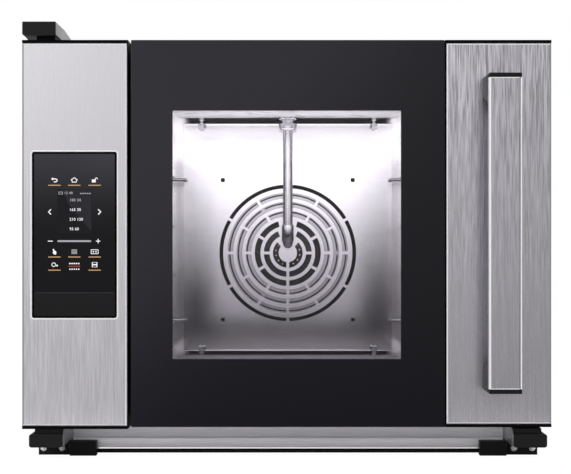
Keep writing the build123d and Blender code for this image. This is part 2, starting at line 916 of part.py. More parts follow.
with BuildPart() as door_frame:
    slab(ring_left, ring_right, glass_thick, door_thick, rail_low, rail_high)
    slab(steel_left, ring_right, door_sheet, glass_thick, rail_low, rail_high)
    with BuildSketch(facing(0)):
        with Locations((sight_x, sight_z)):
            Rectangle(sight_width, sight_height)
    extrude(amount=-2 * door_thick, mode=Mode.SUBTRACT)
    with BuildSketch(facing(door_thick)):
        with Locations((sight_x, sight_z)):
            Rectangle(seat_width + 2 * glass_play, seat_height + 2 * glass_play)
    extrude(amount=glass_thick, mode=Mode.SUBTRACT)
    pocket_x = (ring_left + steel_left) / 2
    pocket_width = steel_left - ring_left - 3 * door_sheet
    with BuildSketch(facing(glass_thick)):
        with Locations((pocket_x - door_sheet / 2, (rail_low + rail_high) / 2)):
            Rectangle(pocket_width, rail_high - rail_low - 2 * door_sheet)
        with Locations((sight_x, sight_z)):
            Rectangle(sight_width + 2 * door_sheet, sight_height + 2 * door_sheet, mode=Mode.SUBTRACT)
    extrude(amount=-(seat_depth - door_sheet - glass_thick), mode=Mode.SUBTRACT)
    slab(
        steel_left + door_sheet,
        ring_right - door_sheet,
        0,
        door_thick - door_sheet,
        rail_low + door_sheet,
        rail_high - door_sheet,
        Mode.SUBTRACT,
    )
    slab(hinge_x - boss, hinge_x + boss, glass_thick, 20, rail_low, rail_low + pin_grip + 4)
    slab(hinge_x - boss, hinge_x + boss, glass_thick, 20, rail_high - pin_grip - 4, rail_high)
    rod_z(hinge_x, hinge_back, rail_low - 1, rail_low + pin_grip + 1, pin_radius + pin_play, Mode.SUBTRACT)
    rod_z(
        hinge_x,
        hinge_back,
        rail_high - pin_grip - 1,
        rail_high + 1,
        pin_radius + pin_play,
        Mode.SUBTRACT,
    )
    with BuildSketch(level(rail_low - 1)):
        Polygon(
            (ring_left - 1, y_at(door_thick - heel_deep)),
            (ring_left, y_at(door_thick - heel_deep)),
            (ring_left + heel_wide, y_at(door_thick)),
            (ring_left + heel_wide, y_at(door_thick + 1)),
            (ring_left - 1, y_at(door_thick + 1)),
            align=None,
        )
    extrude(amount=front_height, mode=Mode.SUBTRACT)
finish(door_frame, "door_frame")

with BuildPart() as outer_glass:
    slab(door_left, steel_left - panel_line, 0, glass_thick, door_low, roof)
    chamfer(outer_glass.faces().sort_by(Axis.Y)[0].edges(), edge_break)
finish(outer_glass, "outer_glass")

with BuildPart() as inner_glass:
    with BuildSketch(facing(seat_depth)):
        with Locations((sight_x, sight_z)):
            Rectangle(seat_width, seat_height)
    extrude(amount=-glass_thick)
finish(inner_glass, "inner_glass")

clip_width = 16.0
clip_hold = 6.0
clip_reach = 3.6

with BuildPart() as glass_clips:
    for x in (sight_x - 100, sight_x + 100):
        for side in (-1, 1):
            edge = sight_z + side * seat_height / 2
            ends = sorted((edge - side * clip_hold, edge + side * clip_reach))
            slab(x - clip_width / 2, x + clip_width / 2, door_thick, door_thick + 1, ends[0], ends[1])
finish(glass_clips, "glass_clips")

# Lamp bar: a strip of lamps in its channel beside the window, hidden by the black print
lamp_length = sight_height - 40.4

with BuildPart() as lamp_bar:
    lamp_x = sight_x - sight_width / 2
    slab(lamp_x, lamp_x + 10, 10, 24, sight_z - lamp_length / 2, sight_z + lamp_length / 2)
    slab(
        lamp_x + 1.5,
        lamp_x + 11,
        14,
        25,
        sight_z - lamp_length / 2 + 2,
        sight_z + lamp_length / 2 - 2,
        Mode.SUBTRACT,
    )
    slab(lamp_x + 1.5, lamp_x + 3.5, 14, 23, sight_z - lamp_length / 2 + 2, sight_z + lamp_length / 2 - 2)
finish(lamp_bar, "door_lamp_bar")

steel_low = door_low + trim_strip
steel_high = roof - trim_strip

with BuildPart() as steel_panel:
    slab(steel_left, right, 0, door_sheet, steel_low, steel_high)
    slab(right - door_sheet, right, door_sheet, door_thick - 2, steel_low, steel_high)
    chamfer(steel_panel.faces().sort_by(Axis.Y)[0].edges(), edge_break)
finish(steel_panel, "door_steel_panel")

with BuildPart() as door_trims:
    slab(steel_left, right, 0, door_thick - 2, door_low, steel_low)
    slab(steel_left, right, 0, door_thick - 2, steel_high, roof)
finish(door_trims, "door_trims")

# Handle: a folded bar between two moulded ends that carry it in front of the door
handle_x = (steel_left + right) / 2
handle_mid = (door_low + roof) / 2
handle_low = handle_mid - handle_length / 2
handle_high = handle_mid + handle_length / 2
bar_back = handle_bar_thick - handle_reach

with BuildPart() as handle_bar:
    slab(
        handle_x - handle_width / 2,
        handle_x + handle_width / 2,
        -handle_reach,
        bar_back,
        handle_low + handle_cap,
        handle_high - handle_cap,
    )
    fillet(handle_bar.faces().sort_by(Axis.Y)[0].edges().filter_by(Axis.Z), handle_wall * 0.8)
    slab(
        handle_x - handle_width / 2 + handle_wall,
        handle_x + handle_width / 2 - handle_wall,
        handle_wall - handle_reach,
        bar_back + 1,
        handle_low,
        handle_high,
        Mode.SUBTRACT,
    )
finish(handle_bar, "handle_bar")


def handle_end(side, name):
    end = handle_mid + side * handle_length / 2
    with BuildPart() as leg:
        with BuildSketch(across(handle_x - handle_width / 2)):
            Polygon(
                (y_at(-handle_reach), end),
                (y_at(0), end),
                (y_at(0), end - side * leg_back_height),
                (y_at(bar_back), end - side * leg_front_height),
                (y_at(bar_back), end - side * handle_cap),
                (y_at(-handle_reach), end - side * handle_cap),
                align=None,
            )
        extrude(amount=handle_width)
        fillet(leg.edges().filter_by(Axis.Z).sort_by(Axis.Y)[:2], 1.5)
    finish(leg, name)


handle_end(1, "handle_end_top")
handle_end(-1, "handle_end_bottom")

# Hinges: two slanted brackets on the front frame, each with a pin that enters the door's frame
arm_turn = door_swing / 2
arm_half = hinge_back - glass_thick - running_gap
pin_step = 4.0


def hinge(side, name):
    edge = rail_low if side < 0 else rail_high
    plate_in = edge + side * pin_step
    plate_out = plate_in + side * bracket_thick
    z0, z1 = sorted((plate_in, plate_out))
    with BuildPart() as bracket:
        with BuildSketch(level(z0)):
            with BuildLine():
                along = (cos(radians(arm_turn)), sin(radians(arm_turn)))
                aside = (-along[1] * arm_half, along[0] * arm_half)
                a = (hinge_x + aside[0], hinge_y + aside[1])
                tip = (hinge_x - along[0] * arm_half, hinge_y - along[1] * arm_half)
                b = (hinge_x - aside[0], hinge_y - aside[1])
                foot_a = hinge_x + (frame_depth - hinge_back - aside[1]) * along[0] / along[1] + aside[0]
                ThreePointArc(a, tip, b)
                Line(b, (foot_a + 6 * arm_half, y_at(frame_depth) - arm_half))
                Line(
                    (foot_a + 6 * arm_half, y_at(frame_depth) - arm_half),
                    (foot_a + 6 * arm_half, y_at(frame_depth)),
                )
                Line((foot_a + 6 * arm_half, y_at(frame_depth)), (foot_a, y_at(frame_depth)))
                Line((foot_a, y_at(frame_depth)), a)
            make_face()
        extrude(amount=z1 - z0)
        p0, p1 = sorted((plate_in, edge - side * (pin_grip - 1)))
        rod_z(hinge_x, hinge_back, p0, p1, pin_radius)
        w0, w1 = sorted((plate_in, edge + side * 0.1))
        rod_z(hinge_x, hinge_back, w0, w1, arm_half)
    finish(bracket, name)


hinge(-1, "hinge_bottom")
hinge(1, "hinge_top")

# Latch: a tongue on the door passes the front frame and rests on a sprung roller behind it
with BuildPart() as tongue:
    slab(
        latch_x - tongue_thick / 2,
        latch_x + tongue_thick / 2,
        door_thick,
        door_thick + tongue_reach,
        latch_z - tongue_half,
        latch_z + tongue_half,
    )
    slab(
        latch_x - 12,
        latch_x + 12,
        door_thick,
        door_thick + 2,
        latch_z - tongue_half,
        latch_z + tongue_half,
    )
    rod_x(latch_x - 5, latch_x + 5, roller_depth, roller_z, roller_radius + running_gap, Mode.SUBTRACT)
finish(tongue, "latch_tongue")

with BuildPart() as roller:
    with BuildSketch(across(latch_x - roller_width / 2)):
        with Locations((y_at(roller_depth), roller_z)):
            RegularPolygon(roller_radius, ring_sides)
    extrude(amount=roller_width)
    slab(
        latch_x - plunger_half,
        latch_x + plunger_half,
        roller_depth - plunger_half,
        roller_depth + plunger_half,
        latch_base + roller_travel + 8,
        roller_z - roller_radius / 2,
    )
finish(roller, "latch_roller")

with BuildPart() as latch_housing:
    slab(
        latch_x - 14,
        latch_x + 14,
        liner_depth,
        liner_depth + 20,
        latch_base,
        roller_z - roller_radius - 6,
    )
    slab(
        latch_x - plunger_half - pin_play,
        latch_x + plunger_half + pin_play,
        roller_depth - plunger_half - pin_play,
        roller_depth + plunger_half + pin_play,
        latch_base + 4,
        roller_z,
        Mode.SUBTRACT,
    )
finish(latch_housing, "latch_housing")

# Front rail under the door with its rubber strip and end boxes
rail_front = rail_set_back
rail_sheet = 1.2
rail_fold = 18.4
strip_low = 1.8
strip_high = 5.3
box_width = 31.0
box_height = 17.0
box_mid = foot_out - foot_width - play - box_width / 2

with BuildPart() as rail:
    with BuildSketch(across(cx - rail_width / 2)):
        Polygon(
            (y_at(rail_front + 4), low),
            (y_at(rail_front + 4), rail_fold + 2),
            (y_at(rail_front), rail_fold),
            (y_at(rail_front), strip_high),
            (y_at(rail_front + rail_sheet), strip_high),
            (y_at(rail_front + rail_sheet), rail_fold - 0.6),
            (y_at(rail_front + 4 + rail_sheet), rail_fold + 1.4),
            (y_at(rail_front + 4 + rail_sheet), low - rail_sheet),
            (y_at(rail_front + 18), low - rail_sheet),
            (y_at(rail_front + 18), low),
            align=None,
        )
    extrude(amount=rail_width)
finish(rail, "front_rail")

with BuildPart() as rail_strip:
    slab(
        cx - box_mid + box_width / 2,
        cx + box_mid - box_width / 2,
        rail_front,
        rail_front + 5,
        strip_low,
        strip_high,
    )
finish(rail_strip, "rail_strip")

with BuildPart() as rail_boxes:
    for side in (-1, 1):
        x = cx + side * box_mid
        slab(x - box_width / 2, x + box_width / 2, rail_front - 14, rail_front, 0, box_height)
finish(rail_boxes, "rail_boxes")

# Feet: an arm that reaches forward to the door's face, a neck under the body and a pad on the worktop
arm_low = 16.7
arm_high = low - foot_neck
pad_front = 67.0
foot_back = pad_front + pad_length


def front_foot(side, name):
    outer = cx + side * foot_out
    inner = outer - side * foot_width
    x0, x1 = sorted((outer, inner))
    n0, n1 = sorted((outer - side * 6, inner))
    with BuildPart() as foot:
        slab(x0, x1, 2, foot_back, arm_low, arm_high)
        fillet(foot.edges().filter_by(Axis.Y), 3)
        slab(n0, n1, 6, foot_back, arm_high - 4, low)
        slab(x0 + 1, x1 - 1, pad_front, foot_back, 0, arm_low + 4)
    finish(foot, name)


front_foot(-1, "foot_front_left")
front_foot(1, "foot_front_right")

rear_pad = case_depth - 70.0
rear_neck = 30.0

with BuildPart() as rear_feet:
    for side in (-1, 1):
        x = cx + side * (foot_out - foot_width / 2)
        slab(x - rear_neck / 2, x + rear_neck / 2, rear_pad - 14, rear_pad + 14, 8, low)
        slab(x - foot_width / 2, x + foot_width / 2, rear_pad - 20, rear_pad + 20, 0, 8)
finish(rear_feet, "rear_feet")

# Cowl over the roof's left edge, with its bracket
cowl_low = roof + cowl_rise - cowl_height

with BuildPart() as cowl:
    slab(left, left + cowl_width, 0, cowl_length, cowl_low, roof + cowl_rise)
    chamfer(cowl.edges().filter_by(Axis.Y), 0.8)
    slab(
        left + 2,
        left + cowl_width - 2,
        -1,
        cowl_length - 2,
        cowl_low + 2,
        roof + cowl_rise - 2,
        Mode.SUBTRACT,
    )
    slab(left, left + cowl_width, 1, 3, cowl_low + 1.5, roof + cowl_rise - 1.5)
finish(cowl, "roof_cowl")

with BuildPart() as cowl_bracket:
    slab(left + 3, left + 16, 4, cowl_length - 10, roof, cowl_low)
finish(cowl_bracket, "cowl_bracket")
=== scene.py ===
import json
import math

import bmesh
import bpy
from mathutils import Matrix, Vector


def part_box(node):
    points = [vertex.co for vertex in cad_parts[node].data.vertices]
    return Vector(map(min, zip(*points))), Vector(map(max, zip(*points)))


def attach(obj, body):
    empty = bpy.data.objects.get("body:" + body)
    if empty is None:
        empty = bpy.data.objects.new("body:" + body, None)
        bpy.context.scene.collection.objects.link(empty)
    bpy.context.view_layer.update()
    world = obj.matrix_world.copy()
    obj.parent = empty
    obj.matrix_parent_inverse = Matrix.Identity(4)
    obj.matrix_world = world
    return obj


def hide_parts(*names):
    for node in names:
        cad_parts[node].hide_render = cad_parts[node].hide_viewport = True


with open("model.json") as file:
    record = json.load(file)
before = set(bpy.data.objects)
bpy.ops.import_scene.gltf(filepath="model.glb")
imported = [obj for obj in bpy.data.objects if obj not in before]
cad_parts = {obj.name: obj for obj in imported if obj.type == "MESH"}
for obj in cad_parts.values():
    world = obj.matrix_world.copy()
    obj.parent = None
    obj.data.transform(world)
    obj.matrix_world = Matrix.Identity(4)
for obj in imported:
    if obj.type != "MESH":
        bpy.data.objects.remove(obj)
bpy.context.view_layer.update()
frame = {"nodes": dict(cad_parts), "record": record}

# Countertop convection oven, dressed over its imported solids. Lengths are in metres.
# The door's front face and the middle of the cavity, as the solids have them
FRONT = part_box("outer_glass")[0][1]
MIDDLE = (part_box("cavity_liner")[0][0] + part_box("cavity_liner")[1][0]) / 2


def depth(back):
    """A place along Y, counted backwards from the door's front face."""
    return FRONT + back


# Other places in the cavity that several pieces share
FAN_HEIGHT = 0.234
BAFFLE = depth(0.510)
CEILING = 0.431
CAVITY_FLOOR = 0.086


# ---------------------------------------------------------------- finishes

class Nodes:
    """A node tree, with short calls for what the finishes and the room's light share."""

    def __init__(self, tree):
        self.tree = tree
        self.tree.nodes.clear()

    def node(self, kind, **settings):
        made = self.tree.nodes.new(kind)
        for key, value in settings.items():
            setattr(made, key, value)
        return made

    def wire(self, source, socket):
        """Feeds a socket from another node's output, or sets it to a plain value."""
        if isinstance(source, (int, float, tuple)):
            socket.default_value = source
        else:
            self.tree.links.new(source, socket)

    def spread(self, source, low, high, start=0.0, end=1.0, smooth=False):
        """Carries a value over from start and end to low and high."""
        ranged = self.node("ShaderNodeMapRange", interpolation_type="SMOOTHSTEP" if smooth else "LINEAR")
        for title, value in (("From Min", start), ("From Max", end), ("To Min", low), ("To Max", high)):
            ranged.inputs[title].default_value = value
        self.wire(source, ranged.inputs["Value"])
        return ranged.outputs["Result"]

    def join(self, first, second, how="ADD"):
        sums = self.node("ShaderNodeMath", operation=how)
        self.wire(first, sums.inputs[0])
        self.wire(second, sums.inputs[1])
        return sums.outputs[0]

    def mix(self, factor, first, second):
        """One shader going over into another."""
        mixed = self.node("ShaderNodeMixShader")
        for source, socket in zip((factor, first, second), mixed.inputs):
            self.wire(source, socket)
        return mixed.outputs[0]


class Finish(Nodes):
    """A material with its shader and short calls for the textures that feed it."""

    def __init__(self, name, colour, rough, metal=0.0):
        self.material = bpy.data.materials.new(name)
        self.material.use_nodes = True
        super().__init__(self.material.node_tree)
        self.output = self.node("ShaderNodeOutputMaterial")
        self.shader = self.node("ShaderNodeBsdfPrincipled")
        self.wire(self.shader.outputs[0], self.output.inputs[0])
        self.feed("Base Color", (*colour, 1.0))
        self.feed("Roughness", rough)
        self.feed("Metallic", metal)

    def feed(self, title, source):
        self.wire(source, self.shader.inputs[title])

    def place(self, stretch=(1, 1, 1), turn=(0, 0, 0), shift=(0, 0, 0)):
        mapping = self.node("ShaderNodeMapping")
        for title, value in (("Scale", stretch), ("Rotation", turn), ("Location", shift)):
            mapping.inputs[title].default_value = value
        self.wire(self.node("ShaderNodeTexCoord").outputs["Object"], mapping.inputs["Vector"])
        return mapping.outputs["Vector"]

    def cloud(self, where, scale, detail=3.0, rough=0.55):
        noise = self.node("ShaderNodeTexNoise")
        for title, value in (("Scale", scale), ("Detail", detail), ("Roughness", rough), ("Vector", where)):
            self.wire(value, noise.inputs[title])
        return noise.outputs["Fac"]

    def cells(self, scale, feature="F1"):
        cell = self.node("ShaderNodeTexVoronoi", feature=feature)
        self.wire(scale, cell.inputs["Scale"])
        self.wire(self.place(), cell.inputs["Vector"])
        return cell.outputs

    def along(self, axis):
        split = self.node("ShaderNodeSeparateXYZ")
        self.wire(self.place(), split.inputs[0])
        return split.outputs["XYZ".index(axis)]

    def tint(self, factor, first, second):
        """A colour between two, each of them a plain colour or another node's output."""
        mixed = self.node("ShaderNodeMix", data_type="RGBA")
        colour_sockets = [socket for socket in mixed.inputs if socket.type == "RGBA"]
        for colour, socket in zip((first, second), colour_sockets):
            self.wire((*colour, 1.0) if isinstance(colour, tuple) else colour, socket)
        self.wire(factor, mixed.inputs["Factor"])
        return next(socket for socket in mixed.outputs if socket.type == "RGBA")

    def relief(self, height, strength, distance):
        bump = self.node("ShaderNodeBump")
        for title, value in (("Strength", strength), ("Distance", distance), ("Height", height)):
            self.wire(value, bump.inputs[title])
        self.feed("Normal", bump.outputs["Normal"])


def shade(colour, factor):
    return tuple(min(1.0, c * factor) for c in colour)


def brushed_steel(name, colour, grain, rough, streak, fine=1400.0, heights=None):
    """Stainless sheet with its grain along one direction: fine hair, short streaks and calm patches.

    Between two heights its streaks grow from a calm share to their full depth.
    """
    steel = Finish(name, colour, rough, 1.0)

    def grained(across, along, shift, detail):
        stretch = tuple(along if axis == grain else across for axis in "XYZ")
        return steel.cloud(steel.place(stretch, shift=shift), 1.0, detail, 0.6)

    hair = grained(fine, 6.0, (0, 0, 0), 3.0)
    streaks = grained(760.0, 30.0, (3.1, 1.7, 0.4), 1.0)
    broad = grained(70.0, 2.6, (8.3, 0.9, 5.2), 2.0)
    patches = steel.spread(steel.cloud(steel.place((5, 5, 5)), 1.0, 2.0, 0.5), 0.70, 1.0, 0.40, 0.60)
    lively = steel.join(steel.join(steel.spread(streaks, -0.5, 0.5, 0.30, 0.70), patches, "MULTIPLY"), 0.5)
    quiet = steel.join(steel.spread(broad, -0.05, 0.05, 0.3, 0.7), steel.spread(hair, -0.14, 0.14, 0.3, 0.7))
    tone = steel.join(lively, quiet)
    if heights:
        calm_at, lively_at, share = heights
        level = steel.spread(steel.along("Z"), share, 1.0, calm_at, lively_at, True)
        tone = steel.join(steel.join(steel.join(tone, 0.5, "SUBTRACT"), level, "MULTIPLY"), 0.5)
    steel.feed("Base Color", steel.tint(tone, shade(colour, 1 - streak), shade(colour, 1 + streak)))
    steel.feed("Roughness", steel.spread(hair, rough - 0.05, rough + 0.06, 0.25, 0.75))
    steel.relief(steel.join(hair, streaks), 0.14, 0.00005)
    return steel.material


def rolled_steel(name, colour, rough, haze, shaded_past=None):
    """Smooth sheet with a weak rolled grain and a faint tarnish, and painted shade past a depth."""
    steel = Finish(name, colour, rough, 1.0)
    hair = steel.cloud(steel.place((30, 60, 900)), 1.0, 3.0, 0.5)
    tarnish = steel.cloud(steel.place((9, 9, 9)), 1.0, 4.0, 0.6)
    tone = steel.spread(steel.join(hair, tarnish), 0.0, 1.0, 0.6, 1.4)
    warm = (min(1, colour[0] * (1 + haze)), colour[1], colour[2] * (1 - haze))
    sheet = steel.tint(tone, shade(warm, 0.95), shade(colour, 1.02))
    roughness = steel.spread(tarnish, rough - 0.02, rough + 0.03, 0.3, 0.7)
    # Past the depth and within the baffle's width, the sheet turns near black and rougher: painted shade behind
    # the baffle.
    if shaded_past is not None:
        behind = steel.spread(steel.along("Y"), 0.0, 1.0, shaded_past - 0.004, shaded_past + 0.010, True)
        off_middle = steel.join(steel.join(steel.along("X"), MIDDLE, "SUBTRACT"), 0.0, "ABSOLUTE")
        painted_shade = steel.join(behind, steel.spread(off_middle, 1.0, 0.0, 0.143, 0.155, True), "MULTIPLY")
        shade_colour = steel.tint(tarnish, (0.008, 0.007, 0.009), (0.018, 0.016, 0.018))
        sheet = steel.tint(painted_shade, sheet, shade_colour)
        roughness = steel.join(roughness, steel.spread(painted_shade, 0.0, 0.35))
    steel.feed("Base Color", sheet)
    steel.feed("Roughness", roughness)
    steel.relief(hair, 0.03, 0.00002)
    return steel.material


def bright_wire(name, colour, rough):
    """Chromed wire or turned metal, with small dull spots."""
    metal = Finish(name, colour, rough, 1.0)
    spots = metal.cloud(metal.place((260, 260, 260)), 1.0, 3.0, 0.6)
    metal.feed("Base Color", metal.tint(metal.spread(spots, 0, 1, 0.35, 0.65), shade(colour, 0.9), colour))
    metal.feed("Roughness", metal.spread(spots, rough, rough + 0.12, 0.35, 0.8))
    metal.relief(spots, 0.04, 0.00005)
    return metal.material


def zinc_sheet(name, colour):
    """Galvanised sheet with its spangle."""
    zinc = Finish(name, colour, 0.45, 1.0)
    spangle = zinc.cells(90.0)
    bright = zinc.node("ShaderNodeRGBToBW")
    zinc.wire(spangle["Color"], bright.inputs[0])
    zinc.feed("Base Color", zinc.tint(bright.outputs[0], shade(colour, 0.8), shade(colour, 1.12)))
    zinc.feed("Roughness", zinc.spread(bright.outputs[0], 0.36, 0.58))
    zinc.relief(spangle["Distance"], 0.06, 0.0002)
    return zinc.material


def moulded_plastic(name, colour, rough, coarse=1600.0, depth_of_grain=0.12, level=0.5):
    """Moulded plastic with a fine eroded grain."""
    plastic = Finish(name, colour, rough)
    plastic.feed("Specular IOR Level", level)
    grain = plastic.cloud(plastic.place(), coarse, 2.0, 0.6)
    wear = plastic.cloud(plastic.place(), 22.0, 4.0, 0.6)
    plastic.feed("Base Color", plastic.tint(wear, shade(colour, 0.82), shade(colour, 1.22)))
    plastic.feed("Roughness", plastic.spread(wear, rough - 0.07, rough + 0.09, 0.3, 0.7))
    plastic.relief(grain, depth_of_grain, 0.0001)
    return plastic.material


def soft_rubber(name, colour):
    """Matt black rubber with dust on it."""
    rubber = Finish(name, colour, 0.72)
    rubber.feed("Specular IOR Level", 0.2)
    dust = rubber.cloud(rubber.place(), 60.0, 5.0, 0.7)
    pores = rubber.cloud(rubber.place(), 2600.0, 1.0, 0.5)
    rubber.feed("Base Color", rubber.tint(rubber.spread(dust, 0, 1, 0.4, 0.75), colour, shade(colour, 1.9)))
    rubber.feed("Roughness", rubber.spread(dust, 0.62, 0.85, 0.3, 0.7))
    rubber.relief(pores, 0.15, 0.0001)
    return rubber.material


def mineral_wool(name):
    """Yellow insulation: fibres running one way, in lumps."""
    wool = Finish(name, (0.62, 0.56, 0.38), 0.95)
    fibre = wool.cloud(wool.place((220, 900, 500), turn=(0.4, 0.3, 0.7)), 1.0, 5.0, 0.7)
    lumps = wool.cloud(wool.place(), 45.0, 4.0, 0.6)
    matted = wool.join(fibre, lumps, "MULTIPLY")
    wool.feed("Base Color", wool.tint(matted, (0.40, 0.34, 0.20), (0.86, 0.80, 0.62)))
    wool.relief(wool.join(fibre, lumps), 0.7, 0.002)
    wool.feed("Sheen Weight", 0.3)
    return wool.material


def circuit_board(name):
    """Green laminate with copper runs."""
    board = Finish(name, (0.03, 0.2, 0.09), 0.35)
    line = board.spread(board.cells(130.0, "DISTANCE_TO_EDGE")["Distance"], 1.0, 0.0, 0.02, 0.05)
    board.feed("Base Color", board.tint(line, (0.02, 0.13, 0.06), (0.07, 0.30, 0.13)))
    board.feed("Roughness", board.spread(line, 0.42, 0.28))
    board.relief(line, 0.2, 0.0001)
    return board.material


def tempered_print(name, colour, rough, level, added_light=0.0, rise=(0.0, 1.0), lean=0.0):
    """Glass printed dark on its back, under a clear gloss.

    Painted light can pale the print between two heights, and leaning one way as well.
    """
    glass = Finish(name, colour, rough)
    glass.feed("Specular IOR Level", level)
    mist = glass.cloud(glass.place(), 7.0, 3.0, 0.5)
    if added_light:
        height = glass.along("Z")
        if lean:
            height = glass.join(height, glass.join(glass.along("X"), lean, "MULTIPLY"), "SUBTRACT")
        height = glass.spread(height, 0.0, 1.0, *rise, True)
        lift = glass.join(height, height, "MULTIPLY")
        lit_colour = tuple(c + added_light * share for c, share in zip(colour, (1.0, 0.96, 1.12)))
        even = glass.join(glass.spread(mist, 0.88, 1.12, 0.3, 0.7), lift, "MULTIPLY")
        glass.feed("Base Color", glass.tint(even, colour, lit_colour))
    else:
        glass.feed("Base Color", glass.tint(mist, shade(colour, 0.8), shade(colour, 1.25)))
    glass.feed("Roughness", glass.spread(mist, rough, rough + 0.02, 0.3, 0.7))
    return glass.material


def clear_pane(name, tint, gloss):
    """Clear glass that light passes straight through, with its reflection on top."""
    pane = Finish(name, tint, 0.02)
    pane.tree.nodes.remove(pane.shader)
    through = pane.node("ShaderNodeBsdfTransparent")
    smear = pane.cloud(pane.place(), 9.0, 3.0, 0.6)
    pane.wire(pane.tint(smear, shade(tint, 0.985), tint), through.inputs["Color"])
    mirror = pane.node("ShaderNodeBsdfGlossy")
    pane.wire(0.02, mirror.inputs["Roughness"])
    pane.wire((gloss, gloss, gloss, 1), mirror.inputs["Color"])
    edge = pane.node("ShaderNodeFresnel")
    pane.wire(1.42, edge.inputs["IOR"])
    pane.wire(pane.mix(edge.outputs[0], through.outputs[0], mirror.outputs[0]), pane.output.inputs[0])
    return pane.material


def lit_mark(name, colour, added_light):
    """A mark on the touch display: a lit colour with a faint unevenness."""
    mark = Finish(name, shade(colour, 0.5), 0.4)
    uneven = mark.cloud(mark.place(), 420.0, 2.0, 0.5)
    mark.feed("Emission Color", mark.tint(uneven, shade(colour, 0.8), colour))
    mark.feed("Emission Strength", added_light)
    return mark.material


# The fascia's, door panel's, handle's and rail's steels are one steel, given lighter and darker colours for the
# light that falls on each: painted light and shade. The rail's, in the door's shade, is painted palest.
# The last three numbers: where the streaks are calm, where they are lively, and the calm share
front_steel = brushed_steel(
    "brushed_front_steel", (0.655, 0.642, 0.690), "Z", 0.27, 0.46, 1100.0, (0.11, 0.46, 0.08)
)
fascia_steel = brushed_steel(
    "brushed_fascia_steel", (0.712, 0.704, 0.737), "Z", 0.29, 0.13, 1400.0, (0.36, 0.13, 0.10)
)
handle_steel = brushed_steel(
    "brushed_handle_steel", (0.625, 0.613, 0.657), "Z", 0.27, 0.42, 1100.0, (0.11, 0.42, 0.10)
)
rail_steel = brushed_steel("brushed_rail_steel", (0.84, 0.83, 0.86), "X", 0.50, 0.06)
casing_steel = brushed_steel("brushed_side_steel", (0.58, 0.58, 0.60), "Z", 0.32, 0.075)
roof_steel = brushed_steel("brushed_roof_steel", (0.58, 0.58, 0.60), "Y", 0.32, 0.075)
frame_steel = brushed_steel("brushed_mouth_steel", (0.50, 0.50, 0.52), "X", 0.36, 0.10)
# The cavity sheet is painted near black behind the baffle: painted shade.
cavity_steel = rolled_steel("cavity_sheet", (0.92, 0.91, 0.94), 0.20, 0.02, BAFFLE + 0.004)
baffle_steel = rolled_steel("baffle_sheet", (0.84, 0.83, 0.865), 0.145, 0.01)
wheel_steel = rolled_steel("fan_wheel_sheet", (0.50, 0.495, 0.52), 0.18, 0.01)
ceiling_steel = moulded_plastic("cavity_ceiling_sheet", (0.80, 0.79, 0.82), 0.30, 300.0, 0.1)
floor_steel = rolled_steel("cavity_floor_sheet", (0.42, 0.41, 0.43), 0.62, 0.02)
# The fan's hub and blades behind the baffle are painted near black: painted shade.
wheel_painted_shade = rolled_steel("fan_wheel_painted_shade", (0.10, 0.095, 0.10), 0.40, 0.01)
door_inner_steel = rolled_steel("door_inner_steel", (0.050, 0.048, 0.052), 0.38, 0.0)
zinc = zinc_sheet("zinc_coated_sheet", (0.60, 0.61, 0.63))
# The plates on the feet's inner sides are paler than the feet: painted light on those sides.
painted_light_plate = zinc_sheet("foot_plate_painted_light", (0.52, 0.51, 0.53))
hinge_steel = bright_wire("turned_hinge_steel", (0.48, 0.48, 0.50), 0.30)
bright_steel = bright_wire("polished_fittings", (0.66, 0.66, 0.68), 0.08)
screw_steel = bright_wire("polished_screws", (0.93, 0.93, 0.94), 0.16)
# White matt finish for the folds, the handle's ends and the foot screws: a painted highlight.
painted_white_edge = moulded_plastic("painted_highlight_edge", (0.985, 0.985, 0.99), 0.30, 1200.0, 0.05)
# Grey fold at a panel's outer side: painted shade.
outer_fold_painted_shade = bright_wire("outer_fold_painted_shade", (0.26, 0.255, 0.265), 0.35)
shadow_gap = moulded_plastic("shadow_gap", (0.0012, 0.0012, 0.0014), 0.6, level=0.02)
# Dark fold just inside the handle's right edge: painted shade.
shaded_edge = bright_wire("painted_shade_fold", (0.10, 0.095, 0.10), 0.40)
chrome = bright_wire("rack_chrome", (0.50, 0.50, 0.52), 0.06)
# White matt bezel round the touch panel: a painted highlight.
bezel = moulded_plastic("bezel_painted_highlight", (0.985, 0.985, 0.99), 0.22, 900.0, 0.04)
heater_metal = moulded_plastic("heater_oxide", (0.045, 0.042, 0.044), 0.55, 900.0, level=0.3)
motor_metal = bright_wire("cast_aluminium", (0.50, 0.50, 0.51), 0.45)
black_plastic = moulded_plastic("black_moulding", (0.0085, 0.0080, 0.0090), 0.46, level=0.14)
trim_black = moulded_plastic("black_trim", (0.0016, 0.0016, 0.0019), 0.55, level=0.04)
pale_plastic = moulded_plastic("pale_moulding", (0.68, 0.68, 0.66), 0.45)
cowl_grey = moulded_plastic("cowl_moulding", (0.30, 0.30, 0.305), 0.50, 1100.0, 0.2, 0.4)
cowl_black = moulded_plastic("cowl_front_moulding", (0.0095, 0.0095, 0.0098), 0.50, 1100.0, 0.2, 0.14)
bracket_grey = moulded_plastic("bracket_paint", (0.055, 0.055, 0.060), 0.50, 900.0, 0.15, 0.3)
gasket_rubber = soft_rubber("silicone_seal", (0.012, 0.012, 0.013))
foot_rubber = soft_rubber("foot_rubber", (0.0095, 0.0090, 0.0100))
wool = mineral_wool("mineral_wool")
board_green = circuit_board("circuit_laminate")
lamp_white = moulded_plastic("lamp_diffuser", (0.84, 0.84, 0.82), 0.5)
# Pale matt line on the rail: a painted highlight.
painted_rail_line = moulded_plastic("rail_painted_highlight", (0.88, 0.88, 0.89), 0.5)
